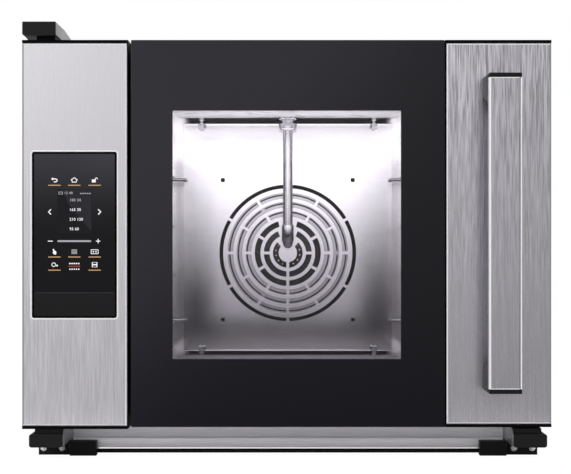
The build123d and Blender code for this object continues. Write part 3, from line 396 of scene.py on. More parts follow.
# The door print pales towards its upper left and the touch lens towards its top: painted light.
print_black = tempered_print("door_print", (0.0022, 0.0015, 0.0044), 0.03, 0.27, 0.0150, (0.06, 0.46), 1.1)
touch_black = tempered_print("touch_lens", (0.0026, 0.0024, 0.0038), 0.05, 0.17, 0.040, (0.230, 0.362))
pane_glass = clear_pane("window_glass", (0.972, 0.966, 0.976), 0.36)
inner_pane_glass = clear_pane("inner_pane_glass", (0.972, 0.966, 0.976), 0.30)
lens_band = tempered_print("touch_lens_band", (0.0078, 0.0070, 0.0080), 0.12, 0.17)
lens_line = tempered_print("touch_lens_line", (0.030, 0.029, 0.033), 0.2, 0.3)
screen_dark = tempered_print("display_field", (0.0052, 0.0048, 0.0068), 0.06, 0.17)
screen_sheen = tempered_print("display_sheen", (0.0190, 0.0180, 0.0230), 0.06, 0.17)
mark_pale = lit_mark("display_pale", (0.80, 0.80, 0.84), 0.85)
mark_dim = lit_mark("display_dim", (0.34, 0.34, 0.37), 0.8)
mark_gold = lit_mark("display_gold", (0.56, 0.30, 0.11), 0.7)
mark_red = lit_mark("display_red", (0.42, 0.045, 0.035), 0.7)

SLOT_FINISH = {
    "front_steel": front_steel,
    "casing_steel": casing_steel,
    "frame_steel": frame_steel,
    "cavity_steel": cavity_steel,
    "zinc_steel": zinc,
    "hinge_steel": hinge_steel,
    "bright_steel": bright_steel,
    "rack_chrome": chrome,
    "bezel_chrome": bezel,
    "heater_metal": heater_metal,
    "motor_metal": motor_metal,
    "gasket_rubber": gasket_rubber,
    "foot_rubber": foot_rubber,
    "wool": wool,
    "black_trim": trim_black,
    "black_plastic": black_plastic,
    "pale_plastic": pale_plastic,
    "board_green": board_green,
    "lamp_white": lamp_white,
    "touch_black": touch_black,
    "door_glass": print_black,
    "clear_glass": inner_pane_glass,
}
NODE_FINISH = {
    "roof_panel": roof_steel,
    "front_rail": rail_steel,
    "door_frame": door_inner_steel,
    "handle_bar": handle_steel,
    "fan_baffle": baffle_steel,
    "fan_wheel": wheel_steel,
    "roof_cowl": cowl_grey,
    "cowl_bracket": bracket_grey,
}

for row in frame["record"]["subparts"]:
    node = frame["nodes"][row["node"]]
    finish = NODE_FINISH.get(row["node"], SLOT_FINISH[row["material_slot"]])
    node.data.materials.clear()
    node.data.materials.append(finish)


# ---------------------------------------------------------------- making pieces

def put(name, mesh, material, body, stands_for=(), others=()):
    """Names a mesh, gives it its finishes and its body, and hides the solids that it stands for."""
    piece = bpy.data.objects.new(name, mesh)
    bpy.context.scene.collection.objects.link(piece)
    mesh.name = name
    if material is not None:
        mesh.materials.clear()
        mesh.materials.append(material)
    for number, (finish, belongs) in enumerate(others, 1):
        mesh.materials.append(finish)
        for polygon in mesh.polygons:
            if belongs(polygon):
                polygon.material_index = number
    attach(piece, body)
    if stands_for:
        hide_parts(*stands_for)
    return piece


def from_bm(bm, name):
    bmesh.ops.recalc_face_normals(bm, faces=bm.faces)
    mesh = bpy.data.meshes.new(name)
    bm.to_mesh(mesh)
    bm.free()
    return mesh


def smooth_flats(mesh, angle):
    """Smooth faces, with the sharp edges kept sharp."""
    mesh.polygons.foreach_set("use_smooth", [True] * len(mesh.polygons))
    bm = bmesh.new()
    bm.from_mesh(mesh)
    for edge in bm.edges:
        edge.smooth = len(edge.link_faces) == 2 and edge.calc_face_angle(4.0) < angle
    bm.to_mesh(mesh)
    bm.free()


def flat_flats(mesh, axis=1):
    """Large faces square to an axis keep their own normal, so no gloss runs over them."""
    for polygon in mesh.polygons:
        if abs(polygon.normal[axis]) > 0.9999:
            polygon.use_smooth = False


def block(bm, low, high, bevel):
    """A plate or bar with its edges rounded over."""
    verts = bmesh.ops.create_cube(bm, size=1.0)["verts"]
    bmesh.ops.scale(bm, vec=[h - l for l, h in zip(low, high)], verts=verts)
    bmesh.ops.translate(bm, vec=[(h + l) / 2 for l, h in zip(low, high)], verts=verts)
    if bevel:
        edges = list({e for v in verts for e in v.link_edges})
        bmesh.ops.bevel(bm, geom=edges, offset=bevel, segments=2, profile=0.5, affect="EDGES")


def part_object(name, mesh):
    """An object in the scene that only helps to make others."""
    part = bpy.data.objects.new(name, mesh)
    bpy.context.scene.collection.objects.link(part)
    return part


def bars(*boxes, bevel=0.0004):
    """Plates and bars with rounded edges, in one mesh."""
    bm = bmesh.new()
    for low, high in boxes:
        block(bm, low, high, bevel)
    mesh = from_bm(bm, "bars")
    smooth_flats(mesh, 0.9)
    for axis in range(3):
        flat_flats(mesh, axis)
    return mesh


def skinned(loops, closed=False):
    """Faces over a row of equal loops; the ends are filled unless the row closes on itself."""
    bm = bmesh.new()
    rows = [[bm.verts.new(point) for point in loop] for loop in loops]
    for first, second in list(zip(rows, rows[1:])) + ([(rows[-1], rows[0])] if closed else []):
        for i in range(len(first)):
            j = (i + 1) % len(first)
            bm.faces.new((first[i], first[j], second[j], second[i]))
    if not closed:
        for row in (rows[0], rows[-1]):
            bm.faces.new(row)
    return bm


def along_x(outline, x0, x1, bevel=0.0, soft=0.6):
    """A closed outline of (y, z) places drawn out along X."""
    bm = skinned([[(x, y, z) for y, z in outline] for x in (x0, x1)])
    bmesh.ops.recalc_face_normals(bm, faces=bm.faces)
    if bevel:
        bmesh.ops.bevel(
            bm, geom=list(bm.edges), offset=bevel, segments=3, profile=0.5, affect="EDGES", clamp_overlap=True
        )
    mesh = from_bm(bm, "drawn")
    smooth_flats(mesh, soft)
    return mesh


def circle_loop(x, z, radius, count):
    angles = [math.tau * i / count for i in range(count)]
    return [(x + radius * math.cos(a), z + radius * math.sin(a)) for a in angles]


def round_rect(x, z, width, height, radius, steps):
    loop = []
    for sx, sz, begin in ((1, 1, 0), (-1, 1, 90), (-1, -1, 180), (1, -1, 270)):
        corner_x, corner_z = x + sx * (width / 2 - radius), z + sz * (height / 2 - radius)
        for i in range(steps + 1):
            a = math.radians(begin + 90 * i / steps)
            loop.append((corner_x + radius * math.cos(a), corner_z + radius * math.sin(a)))
    return loop


def rect_loop(x0, x1, z0, z1):
    return [(x0, z0), (x1, z0), (x1, z1), (x0, z1)]


def framed(x0, x1, z0, z1, corner, steps):
    """A round-cornered loop between two sides, a foot and a top."""
    return round_rect((x0 + x1) / 2, (z0 + z1) / 2, x1 - x0, z1 - z0, corner, steps)


def add_runs(curve, runs, closed):
    for run in runs:
        spline = curve.splines.new("POLY")
        spline.points.add(len(run) - 1)
        for point, place in zip(spline.points, run):
            point.co = (*place, 1)
        spline.use_cyclic_u = closed


def curve_to_mesh(curve):
    """The mesh that a curve makes; the curve is thrown away."""
    holder = bpy.data.objects.new("holder", curve)
    mesh = bpy.data.meshes.new_from_object(holder)
    bpy.data.objects.remove(holder)
    bpy.data.curves.remove(curve)
    return mesh


def welded(mesh):
    """Closes the seams of a mesh and turns its faces outward."""
    bm = bmesh.new()
    bm.from_mesh(mesh)
    bmesh.ops.remove_doubles(bm, verts=bm.verts, dist=1e-7)
    bmesh.ops.recalc_face_normals(bm, faces=bm.faces)
    bm.to_mesh(mesh)
    bm.free()
    return mesh


def stood_up(mesh, place):
    """Turns a mesh that was drawn lying flat to face forward, and moves it to its place."""
    mesh.transform(Matrix.Rotation(math.radians(90), 4, "X"))
    mesh.transform(Matrix.Translation(place))
    return mesh


def flat_mesh(loops, y_front, y_back, bevel=0.0, bevel_steps=2):
    """A sheet that faces forward, cut to its loops; a loop inside another is a hole."""
    curve = bpy.data.curves.new("cut_sheet", "CURVE")
    curve.dimensions = "2D"
    curve.fill_mode = "BOTH"
    curve.extrude = (y_back - y_front) / 2 - bevel
    if bevel:
        curve.bevel_depth = bevel
        curve.offset = -bevel
        curve.bevel_resolution = bevel_steps
    add_runs(curve, [[(x, z, 0) for x, z in loop] for loop in loops], True)
    return welded(stood_up(curve_to_mesh(curve), (0, (y_front + y_back) / 2, 0)))


def ringed_mesh(loops, closed=False):
    """A plain mesh skinned over a row of equal loops."""
    return from_bm(skinned(loops, closed), "skin")


# How far in and how far back a soft fold goes between a sheet's side and its front
FOLD = ((0.0, 0.0017), (0.0002, 0.0014), (0.0014, 0.0002), (0.0019, 0.0))


def pan_front(x0, x1, z0, z1):
    """A sheet's front with its four edges turned back over a soft fold."""
    steps = ((0.0030, 0.0012), (0.0012, 0.0019)) + FOLD
    return ringed_mesh([
        [(x, FRONT + back, z) for x, z in rect_loop(x0 + inward, x1 - inward, z0 + inward, z1 - inward)]
        for inward, back in steps
    ])


def on_fold(polygon):
    """True for the faces that slope between a sheet's front and its sides."""
    return 0.35 < -polygon.normal[1] < 0.95


def settled_mesh(piece):
    """A plain mesh of an object, as its modifiers leave it."""
    bpy.context.view_layer.update()
    graph = bpy.context.evaluated_depsgraph_get()
    return bpy.data.meshes.new_from_object(piece.evaluated_get(graph), depsgraph=graph)


def cut_through(mesh, cutter):
    """Takes a cutter's form out of a mesh."""
    body, tool = part_object("body_to_cut", mesh), part_object("cutting_tool", cutter)
    modifier = body.modifiers.new("cut", "BOOLEAN")
    modifier.operation = "DIFFERENCE"
    modifier.solver = "EXACT"
    modifier.object = tool
    result = settled_mesh(body)
    bpy.data.objects.remove(body)
    bpy.data.objects.remove(tool)
    return result


def merged(name, meshes):
    bm = bmesh.new()
    for mesh in meshes:
        bm.from_mesh(mesh)
        bpy.data.meshes.remove(mesh)
    result = bpy.data.meshes.new(name)
    bm.to_mesh(result)
    bm.free()
    return result


def tube_mesh(runs, radius, sides=14, closed=False):
    """Round wire through each run of points, with closed ends."""
    curve = bpy.data.curves.new("wire", "CURVE")
    curve.dimensions = "3D"
    curve.bevel_depth = radius
    curve.bevel_resolution = sides // 4
    curve.use_fill_caps = True
    add_runs(curve, runs, closed)
    mesh = welded(curve_to_mesh(curve))
    smooth_flats(mesh, 0.9)
    return mesh


def turned_mesh(profile, axis, centre, steps=48):
    """A turned form: (radius, place along the axis) pairs spun round a line through a centre."""

    def spot(radius, along, angle):
        u, v = radius * math.cos(angle), radius * math.sin(angle)
        return Vector((u, along, v) if axis == "Y" else (u, v, along)) + Vector(centre)

    bm = skinned([[spot(*row, math.tau * i / steps) for i in range(steps)] for row in profile])
    bmesh.ops.remove_doubles(bm, verts=bm.verts, dist=1e-6)
    mesh = from_bm(bm, "turned")
    smooth_flats(mesh, 0.7)
    return mesh


# ---------------------------------------------------------------- repeated parts

def copies_tree(name, inputs):
    """A tree that sets copies of one part on points, makes them real and gives them their finish.

    What makes the points and turns the copies is added by the caller, at the returned input and copy nodes.
    """
    tree = bpy.data.node_groups.new(name, "GeometryNodeTree")
    for title, kind in (*inputs, ("Part", "Object"), ("Finish", "Material")):
        tree.interface.new_socket(title, in_out="INPUT", socket_type="NodeSocket" + kind)
    tree.interface.new_socket("Parts", in_out="OUTPUT", socket_type="NodeSocketGeometry")
    given, out = tree.nodes.new("NodeGroupInput"), tree.nodes.new("NodeGroupOutput")
    kinds = ("ObjectInfo", "InstanceOnPoints", "RealizeInstances", "SetMaterial")
    info, copies, real, finish = (tree.nodes.new("GeometryNode" + kind) for kind in kinds)
    link = tree.links.new
    link(given.outputs["Part"], info.inputs["Object"])
    link(info.outputs["Geometry"], copies.inputs["Instance"])
    link(copies.outputs["Instances"], real.inputs["Geometry"])
    link(real.outputs["Geometry"], finish.inputs["Geometry"])
    link(given.outputs["Finish"], finish.inputs["Material"])
    link(finish.outputs["Geometry"], out.inputs["Parts"])
    return tree, given, copies


def fixings_tree():
    """Puts one head on each point, turned as asked."""
    tree, given, copies = copies_tree("fixings_on_points", (("Points", "Geometry"), ("Turn", "Vector")))
    tree.links.new(given.outputs["Points"], copies.inputs["Points"])
    tree.links.new(given.outputs["Turn"], copies.inputs["Rotation"])
    return tree


def round_tree():
    """Sets copies of one part round a line that runs to the back."""
    inputs = (("Count", "Int"), ("Centre", "Vector"), ("Start angle", "Float"))
    tree, given, copies = copies_tree("parts_round_a_shaft", inputs)
    ring = tree.nodes.new("GeometryNodeMeshCircle")
    gather = tree.nodes.new("GeometryNodeSetPosition")
    index = tree.nodes.new("GeometryNodeInputIndex")
    step = tree.nodes.new("ShaderNodeMath")
    step.operation = "DIVIDE"
    step.inputs[0].default_value = math.tau
    turn = tree.nodes.new("ShaderNodeMath")
    turn.operation = "MULTIPLY_ADD"
    turn_y = tree.nodes.new("ShaderNodeCombineXYZ")
    link = tree.links.new
    link(given.outputs["Count"], ring.inputs["Vertices"])
    link(ring.outputs["Mesh"], gather.inputs["Geometry"])
    link(given.outputs["Centre"], gather.inputs["Position"])
    link(gather.outputs["Geometry"], copies.inputs["Points"])
    link(given.outputs["Count"], step.inputs[1])
    link(index.outputs[0], turn.inputs[0])
    link(step.outputs[0], turn.inputs[1])
    link(given.outputs["Start angle"], turn.inputs[2])
    link(turn.outputs[0], turn_y.inputs["Y"])
    link(turn_y.outputs[0], copies.inputs["Rotation"])
    return tree


FIXINGS = fixings_tree()
ROUND = round_tree()


def grown(tree, base_mesh, inputs):
    """Runs a tree on a base mesh and returns the plain mesh that comes out."""
    holder = part_object("holder", base_mesh)
    modifier = holder.modifiers.new("nodes", "NODES")
    modifier.node_group = tree
    for title, value in inputs.items():
        socket = next(item for item in tree.interface.items_tree if item.name == title)
        modifier[socket.identifier] = value
    holder.update_tag()
    mesh = settled_mesh(holder)
    holder.modifiers.remove(modifier)
    bpy.data.objects.remove(holder)
    return mesh


def fixings(name, places, head, turn, finish):
    """Screw heads in the oven's sheets, one at each place."""
    points = bpy.data.meshes.new("points")
    points.from_pydata([tuple(place) for place in places], [], [])
    mesh = grown(FIXINGS, points, {"Part": head, "Turn": turn, "Finish": finish})
    smooth_flats(mesh, 0.6)
    put(name, mesh, None, "oven")


def round_the_shaft(part, count, start, finish):
    """Copies of a part round the fan's shaft."""
    centre = (MIDDLE, 0, FAN_HEIGHT)
    inputs = {"Part": part, "Count": count, "Centre": centre, "Start angle": start, "Finish": finish}
    return grown(ROUND, bpy.data.meshes.new("base"), inputs)


# ---------------------------------------------------------------- door glass

pane_low, pane_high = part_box("outer_glass")
WINDOW = (-0.1295, 0.1295, 0.1174, 0.399)
window_loop = framed(*WINDOW, 0.0008, 3)
pane_loop = framed(pane_low[0], pane_high[0], pane_low[2], pane_high[2], 0.0012, 3)
printed = flat_mesh([pane_loop, window_loop], pane_low[1], pane_high[1], 0.0004)
smooth_flats(printed, 0.35)
flat_flats(printed)
put("door_printed_glass", printed, print_black, "door", stands_for=("outer_glass",))
clear = flat_mesh([window_loop], pane_low[1] + 0.0001, pane_high[1] - 0.0001)
put("door_window_glass", clear, pane_glass, "door")

# ---------------------------------------------------------------- cavity: baffle

baffle_low, baffle_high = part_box("fan_baffle")
BAFFLE_SHEET = 0.0015
# The rings' radii, the bridge left between two slots, and the half width of the pipe's plate
FIRST_RING, RING_PITCH, BRIDGE, PLATE_HALF = 0.0175, 0.0132, 0.0042, 0.011


def curved_slot(radius, width, start, end, gap):
    """A slot along a ring with ends square to it, each half a bridge short of its angle."""
    inner, outer = radius - width / 2, radius + width / 2
    loop = []
    for reach, order in ((outer, 1), (inner, -1)):
        trim = math.asin(min(0.9, gap / 2 / reach))
        a0, a1 = start + trim, end - trim
        steps = max(3, int((a1 - a0) / 0.05))
        angles = [a0 + (a1 - a0) * i / steps for i in range(steps + 1)]
        loop += [(MIDDLE + reach * math.cos(a), FAN_HEIGHT + reach * math.sin(a)) for a in angles[::order]]
    return loop


def clipped_slots(index, width, count, turn):
    """The slots of one ring, kept clear of the spine below and of the pipe's plate above."""
    radius = FIRST_RING + RING_PITCH * index
    cuts = [math.radians(turn + 360 * i / count) % math.tau for i in range(count)]
    spine, plate = math.radians(270), math.radians(90)
    if not any(abs(cut - spine) < 0.01 for cut in cuts):
        cuts.append(spine)
    covered = math.asin(min(0.95, PLATE_HALF / radius)) if index <= 2 else 0.0
    if covered:
        cuts = [cut for cut in cuts if abs(cut - plate) > covered] + [plate - covered, plate + covered]
    cuts.sort()
    slots = []
    for a, b in zip(cuts, cuts[1:] + [cuts[0] + math.tau]):
        under_plate = covered and abs((a + b) / 2 % math.tau - plate) < covered * 0.9
        if not under_plate and b - a >= 0.12:
            slots.append(curved_slot(radius, width, a, b, BRIDGE))
    return slots


# Each ring's number from the middle, the width of its slots, their count and the first cut's angle
RINGS = (
    (6, 0.0052, 6, 30),
    (5, 0.008, 6, 0),
    (4, 0.008, 6, 30),
    (3, 0.008, 6, 0),
    (2, 0.008, 6, 30),
    (1, 0.008, 4, 0),
    (0, 0.008, 2, 90),
)
baffle_loops = [framed(baffle_low[0], baffle_high[0], baffle_low[2], baffle_high[2], 0.003, 4)]
for ring in RINGS:
    baffle_loops += clipped_slots(*ring)
for side in (-1, 1):
    for z in (0.137, 0.340):
        baffle_loops.append(round_rect(MIDDLE + side * 0.0945, z, 0.0055, 0.0055, 0.0008, 3))
lip_bm = bmesh.new()
for foot in (baffle_low[2], baffle_high[2] - BAFFLE_SHEET):
    block(lip_bm, (*baffle_low[:2], foot), (baffle_high[0], BAFFLE + 0.001, foot + BAFFLE_SHEET), 0.0005)
sheet = flat_mesh(baffle_loops, BAFFLE, BAFFLE + BAFFLE_SHEET, 0.0002, 1)
baffle_mesh = merged("baffle", [sheet, from_bm(lip_bm, "lips")])
put("fan_baffle_cut_sheet", baffle_mesh, baffle_steel, "oven", stands_for=("fan_baffle",))

# ---------------------------------------------------------------- cavity: fan wheel and heater

WHEEL_FRONT, WHEEL_BACK = (corner[1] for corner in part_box("fan_wheel"))
WHEEL_RADIUS, BLADES, RIVETS = 0.094, 10, 14
shroud_loops = [circle_loop(MIDDLE, FAN_HEIGHT, WHEEL_RADIUS, 120), circle_loop(MIDDLE, FAN_HEIGHT, 0.048, 96)]
for radius in (0.0592, 0.0719, 0.0845):
    for third in range(3):
        start = math.tau * third / 3
        shroud_loops.append(curved_slot(radius, 0.0017, start, start + math.tau / 3, 0.006))
shroud = flat_mesh(shroud_loops, WHEEL_FRONT, WHEEL_FRONT + 0.0012, 0.0002, 1)
put("fan_wheel_shroud", shroud, wheel_steel, "fan")
hub_profile = [
    (0.0, 0.004),
    (0.0135, 0.004),
    (0.015, 0.0055),
    (0.015, 0.0208),
    (0.0225, 0.0228),
    (0.0925, 0.0248),
    (WHEEL_RADIUS, 0.0248),
    (WHEEL_RADIUS, 0.026),
    (0.005, 0.026),
    (0.005, WHEEL_BACK - WHEEL_FRONT),
    (0.0, WHEEL_BACK - WHEEL_FRONT),
]


def behind_wheel_front(profile):
    return [(radius, WHEEL_FRONT + back) for radius, back in profile]


def blade_mesh():
    """One curved blade of sheet between the wheel's two plates."""
    front, back, thick = WHEEL_FRONT + 0.0008, WHEEL_FRONT + 0.0245, 0.0016
    sections = []
    for i in range(9):
        t = i / 8
        radius = 0.042 + (0.092 - 0.042) * t
        bow = -0.007 * math.sin(math.pi * min(1.0, t * 1.15)) + 0.004 * t * t
        corners = ((front, bow), (back, bow), (back, bow + thick), (front, bow + thick))
        sections.append([(radius, y, z) for y, z in corners])
    return ringed_mesh(sections)


hub = turned_mesh(behind_wheel_front(hub_profile), "Y", (MIDDLE, 0, FAN_HEIGHT), 96)
blade = part_object("blade", blade_mesh())
blades = round_the_shaft(blade, BLADES, 0.0, wheel_steel)
rivet_profile = [(0.0, 0.0195), (0.0012, 0.0197), (0.0021, 0.0210), (0.0021, 0.0228), (0.0, 0.0228)]
rivet_head = part_object("rivet", turned_mesh(behind_wheel_front(rivet_profile), "Y", (0.0178, 0, 0), 12))
rivets = round_the_shaft(rivet_head, RIVETS, 0.2, screw_steel)
put("fan_wheel_rivets", rivets, screw_steel, "fan")
wheel_mesh = merged("wheel", [hub, blades])
put("fan_wheel_riveted", wheel_mesh, wheel_painted_shade, "fan", stands_for=("fan_wheel",))

heater_low, heater_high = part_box("ring_heater")
HEATER_RADIUS = 0.112
first_turn = heater_low[1] + 0.004
turn_loop = circle_loop(MIDDLE, FAN_HEIGHT, HEATER_RADIUS, 96)
turns = [[(x, y, z) for x, z in turn_loop] for y in (first_turn, first_turn + 0.010)]
tails = []
for angle in (90, 210, 330):
    x = MIDDLE + HEATER_RADIUS * math.cos(math.radians(angle))
    z = FAN_HEIGHT + HEATER_RADIUS * math.sin(math.radians(angle))
    tails.append([(x, first_turn, z), (x, heater_high[1], z)])
heater_mesh = merged("heater", [tube_mesh(turns, 0.0028, 14, True), tube_mesh(tails, 0.0022, 12)])
smooth_flats(heater_mesh, 0.9)
put("ring_heater_tube", heater_mesh, heater_metal, "oven", stands_for=("ring_heater",))

# ---------------------------------------------------------------- cavity: pipe, racks, studs

PIPE = depth(0.484)
# The pipe's section: its foot, counted up from below, and its flange, counted down from the ceiling
pipe_foot, pipe_head = (corner[2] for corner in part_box("humidity_pipe"))
pipe_end_profile = [
    (0.0, 0.0),
    (0.0030, 0.0006),
    (0.0055, 0.0026),
    (0.0068, 0.0058),
    (0.0070, 0.0085),
    (0.0084, 0.0105),
    (0.0085, 0.0330),
    (0.0082, 0.0340),
    (0.0070, 0.0345),
]
flange_profile = [
    (0.0070, 0.0215),
    (0.0104, 0.0208),
    (0.0124, 0.0196),
    (0.0130, 0.0180),
    (0.0130, 0.0126),
    (0.0124, 0.0112),
    (0.0096, 0.0104),
    (0.0096, 0.0062),
    (0.0124, 0.0052),
    (0.0130, 0.0044),
    (0.0130, 0.0002),
    (0.0070, 0.0),
]
pipe_profile = [(radius, pipe_foot + up) for radius, up in pipe_end_profile]
pipe_profile += [(radius, CEILING - down) for radius, down in flange_profile]
pipe_profile += [(0.0070, pipe_head), (0.0, pipe_head)]
pipe_mesh = turned_mesh(pipe_profile, "Z", (MIDDLE, PIPE, 0))
outlet = tube_mesh([[(MIDDLE, y, pipe_foot + 0.007) for y in (PIPE, BAFFLE)]], 0.0056, 20)
pipe_mesh = merged("pipe", [pipe_mesh, outlet])
put("humidity_pipe_polished", pipe_mesh, bright_steel, "oven", stands_for=("humidity_pipe",))

# A rack's frame, its runners for the trays, and the stops that reach to the baffle
RACK_FRONT, RACK_REAR, RACK_STOP = depth(0.090), depth(0.432), depth(0.49525)
RACK_FOOT, RACK_HEAD, FIRST_RUNNER, LAST_RUNNER = 0.109, 0.374, 0.137, 0.340
FRAME_WIRE, RUNNER_WIRE, STOP_WIRE = 0.0025, 0.00225, 0.00235
FRAME_OUT, RUNNER_IN, STOP_TIP = 0.171 - 0.0003 - FRAME_WIRE, 0.165 - 0.008 + FRAME_WIRE, 0.1465


def quarter(steps):
    """(sine, cosine) pairs from 0 to 90 degrees."""
    angles = [math.radians(90 * i / steps) for i in range(steps + 1)]
    return [(math.sin(a), math.cos(a)) for a in angles]


def rack_piece(side, node):
    """A rack of bent wire: a frame with round corners, four runners and two stops."""
    out, inner, tip = (MIDDLE + side * reach for reach in (FRAME_OUT, RUNNER_IN, STOP_TIP))
    bend = 0.008
    frame_run = []
    for z, y0, y1, up in ((RACK_FOOT, RACK_FRONT, RACK_REAR, 1), (RACK_HEAD, RACK_REAR, RACK_FRONT, -1)):
        inward = math.copysign(1, y1 - y0)
        frame_run += [(out, y0 + inward * bend * (1 - c), z + up * bend * (1 - s)) for s, c in quarter(6)]
        frame_run += [(out, y1 - inward * bend * (1 - s), z + up * bend * (1 - c)) for s, c in quarter(6)]
    curl = 0.004
    runners = []
    for step in range(4):
        z = FIRST_RUNNER + (LAST_RUNNER - FIRST_RUNNER) / 3 * step
        run = [(out, RACK_FRONT, z)]
        run += [(inner + side * curl * (1 - s), RACK_FRONT + 0.0002 + curl * (1 - c), z) for s, c in quarter(5)]
        run += [(inner + side * curl * (1 - c), RACK_REAR - curl + curl * s, z) for s, c in quarter(5)]
        runners.append(run + [(out, RACK_REAR, z)])
    stop_line = (
        (out, RACK_REAR),
        (out, RACK_STOP - 0.003),
        (out - side * 0.001, RACK_STOP - 0.0008),
        (out - side * 0.003, RACK_STOP),
        (tip, RACK_STOP),
    )
    stops = [[(x, y, z) for x, y in stop_line] for z in (FIRST_RUNNER, LAST_RUNNER)]
    frame_wire = tube_mesh([frame_run], FRAME_WIRE, 16, True)
    wires = [frame_wire, tube_mesh(runners, RUNNER_WIRE), tube_mesh(stops, STOP_WIRE)]
    put(node + "_wire", merged("rack", wires), chrome, "oven", stands_for=(node,))


rack_piece(-1, "tray_rack_left")
rack_piece(1, "tray_rack_right")


def stud(x, wall, lip, way):
    """A threaded stay from the wall to the baffle's lip, with a hexagon nut at each side of the gap."""
    at_wall = (
        (0.0, 0.0),
        (0.0058, 0.0),
        (0.0058, 0.0008),
        (0.0052, 0.0010),
        (0.0056, 0.0016),
        (0.0056, 0.0052),
        (0.0050, 0.0058),
        (0.0026, 0.0060),
    )
    at_lip = (
        (0.0026, -0.0004),
        (0.0058, -0.0002),
        (0.0058, 0.0018),
        (0.0050, 0.0020),
        (0.0056, 0.0026),
        (0.0056, 0.0068),
        (0.0048, 0.0076),
        (0.0022, 0.0078),
        (0.0020, 0.0098),
        (0.0, 0.0100),
    )
    profile = [(radius, wall - way * run) for radius, run in at_wall]
    profile += [(radius, lip - way * run) for radius, run in at_lip]
    return turned_mesh(profile, "Z", (x, BAFFLE - 0.0061, 0), 6)


studs = []
for x in (MIDDLE - 0.1247, MIDDLE + 0.1247):
    studs += [stud(x, CEILING, baffle_high[2], 1), stud(x, CAVITY_FLOOR, baffle_low[2], -1)]
studs = merged("studs", studs)
put("baffle_stud_nuts", studs, bright_steel, "oven", stands_for=("baffle_studs",))

for name, half, front, foot, head, finish in (
    ("cavity_ceiling_plate", 0.160, depth(0.300), CEILING - 0.0016, CEILING - 0.0004, ceiling_steel),
    ("cavity_floor_plate", 0.166, depth(0.050), CAVITY_FLOOR - 0.0002, CAVITY_FLOOR + 0.0008, floor_steel),
):
    plate = bars(((MIDDLE - half, front, foot), (MIDDLE + half, BAFFLE - 0.0095, head)), bevel=0.0003)
    put(name, plate, finish, "oven")

# ---------------------------------------------------------------- handle

bar_low, bar_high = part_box("handle_bar")
HANDLE = (bar_low[0] + bar_high[0]) / 2
# The cap across the bar's end, and the heights of the bar's rows of corners
CAP = 0.0050
BAR_ROWS = (bar_low[2] + 0.0016, bar_low[2] + 0.0025, bar_high[2] - 0.0025, bar_high[2] - 0.0016)


def channel_mesh():
    """The handle's folded bar: a channel open to the back, with soft folds."""
    half = (bar_high[0] - bar_low[0]) / 2
    wall = 0.002
    reach = bar_high[1] - bar_low[1]
    outer = [(-half, reach)] + [(-half + inward, back) for inward, back in FOLD + ((0.0028, 0.0),)]
    inner = [(-half + wall, reach), (-half + wall, wall + 0.001), (-half + wall + 0.001, wall)]
    section = outer + [(-x, y) for x, y in reversed(outer)] + [(-x, y) for x, y in inner] + inner[::-1]
    return ringed_mesh([[(HANDLE + x, bar_low[1] + y, z) for x, y in section] for z in BAR_ROWS])


def handle_bright_edge(polygon):
    """The folds along the bar, and a narrow line across the front at each end, that take the painted highlight.
    """
    return on_fold(polygon) or not BAR_ROWS[1] < polygon.center[2] < BAR_ROWS[2]


def handle_right_shade(polygon):
    """The narrow dark line just inside the bar's right fold."""
    return polygon.normal[1] < -0.95 and bar_high[0] - 0.0030 < polygon.center[0]


put(
    "handle_bar_folded",
    channel_mesh(),
    handle_steel,
    "door",
    stands_for=("handle_bar",),
    others=((painted_white_edge, handle_bright_edge), (shaded_edge, handle_right_shade)),
)


def handle_leg(node, side):
    """A moulded end: a cap across the bar's end and a gusset that leads back to the door."""
    low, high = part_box(node)
    end = high[2] if side > 0 else low[2]
    front, back, bar_rear = low[1], high[1], bar_high[1]
    outline = [
        (front, end),
        (back, end),
        (back, end - side * 0.022),
        (bar_rear + 0.004, end - side * 0.0315),
        (bar_rear, end - side * 0.032),
        (bar_rear, end - side * CAP),
        (front, end - side * CAP),
    ]
    leg = along_x(outline, low[0], high[0], 0.0009)
    put(node + "_moulded", leg, black_plastic, "door", stands_for=(node,))


handle_leg("handle_end_top", 1)
handle_leg("handle_end_bottom", -1)

# ---------------------------------------------------------------- front panels

fascia_low, fascia_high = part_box("control_fascia")
panel_low, panel_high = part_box("door_steel_panel")
lens_low, lens_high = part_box("touch_glass")
bezel_low, bezel_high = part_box("touch_bezel")
SIDE_SHEET = 0.0012
STEEL_END = fascia_high[0] - SIDE_SHEET
PANEL_START = panel_low[0] + 0.0013
BEZEL = ((bezel_low[0] + bezel_high[0]) / 2 - 0.00015, (bezel_low[2] + bezel_high[2]) / 2 - 0.0005)
BEZEL_SIZE = (bezel_high[0] - bezel_low[0] + 0.0030, bezel_high[2] - bezel_low[2] + 0.0022)


def bezel_loop(inset, y):
    corner = max(0.0006, 0.0044 - inset)
    return [(x, y, z) for x, z in round_rect(*BEZEL, *(size - 2 * inset for size in BEZEL_SIZE), corner, 6)]


def folded_panel(name, node, front, start, body, finish, outward):
    """A steel sheet with a painted highlight on its folds and painted shade on the fold at its outer side: its
    front, and the wall at its outer side.
    """
    low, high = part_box(node)
    wall = bars(((start, FRONT + 0.0022, low[2]), (start + SIDE_SHEET, *high[1:])), bevel=0.0)
    sheet = merged(node, [front, wall])
    folds = ((painted_white_edge, on_fold), (outer_fold_painted_shade, lambda side: on_fold(side) and side.normal[0] * outward > 0.3))
    put(name, sheet, finish, body, stands_for=(node,), others=folds)


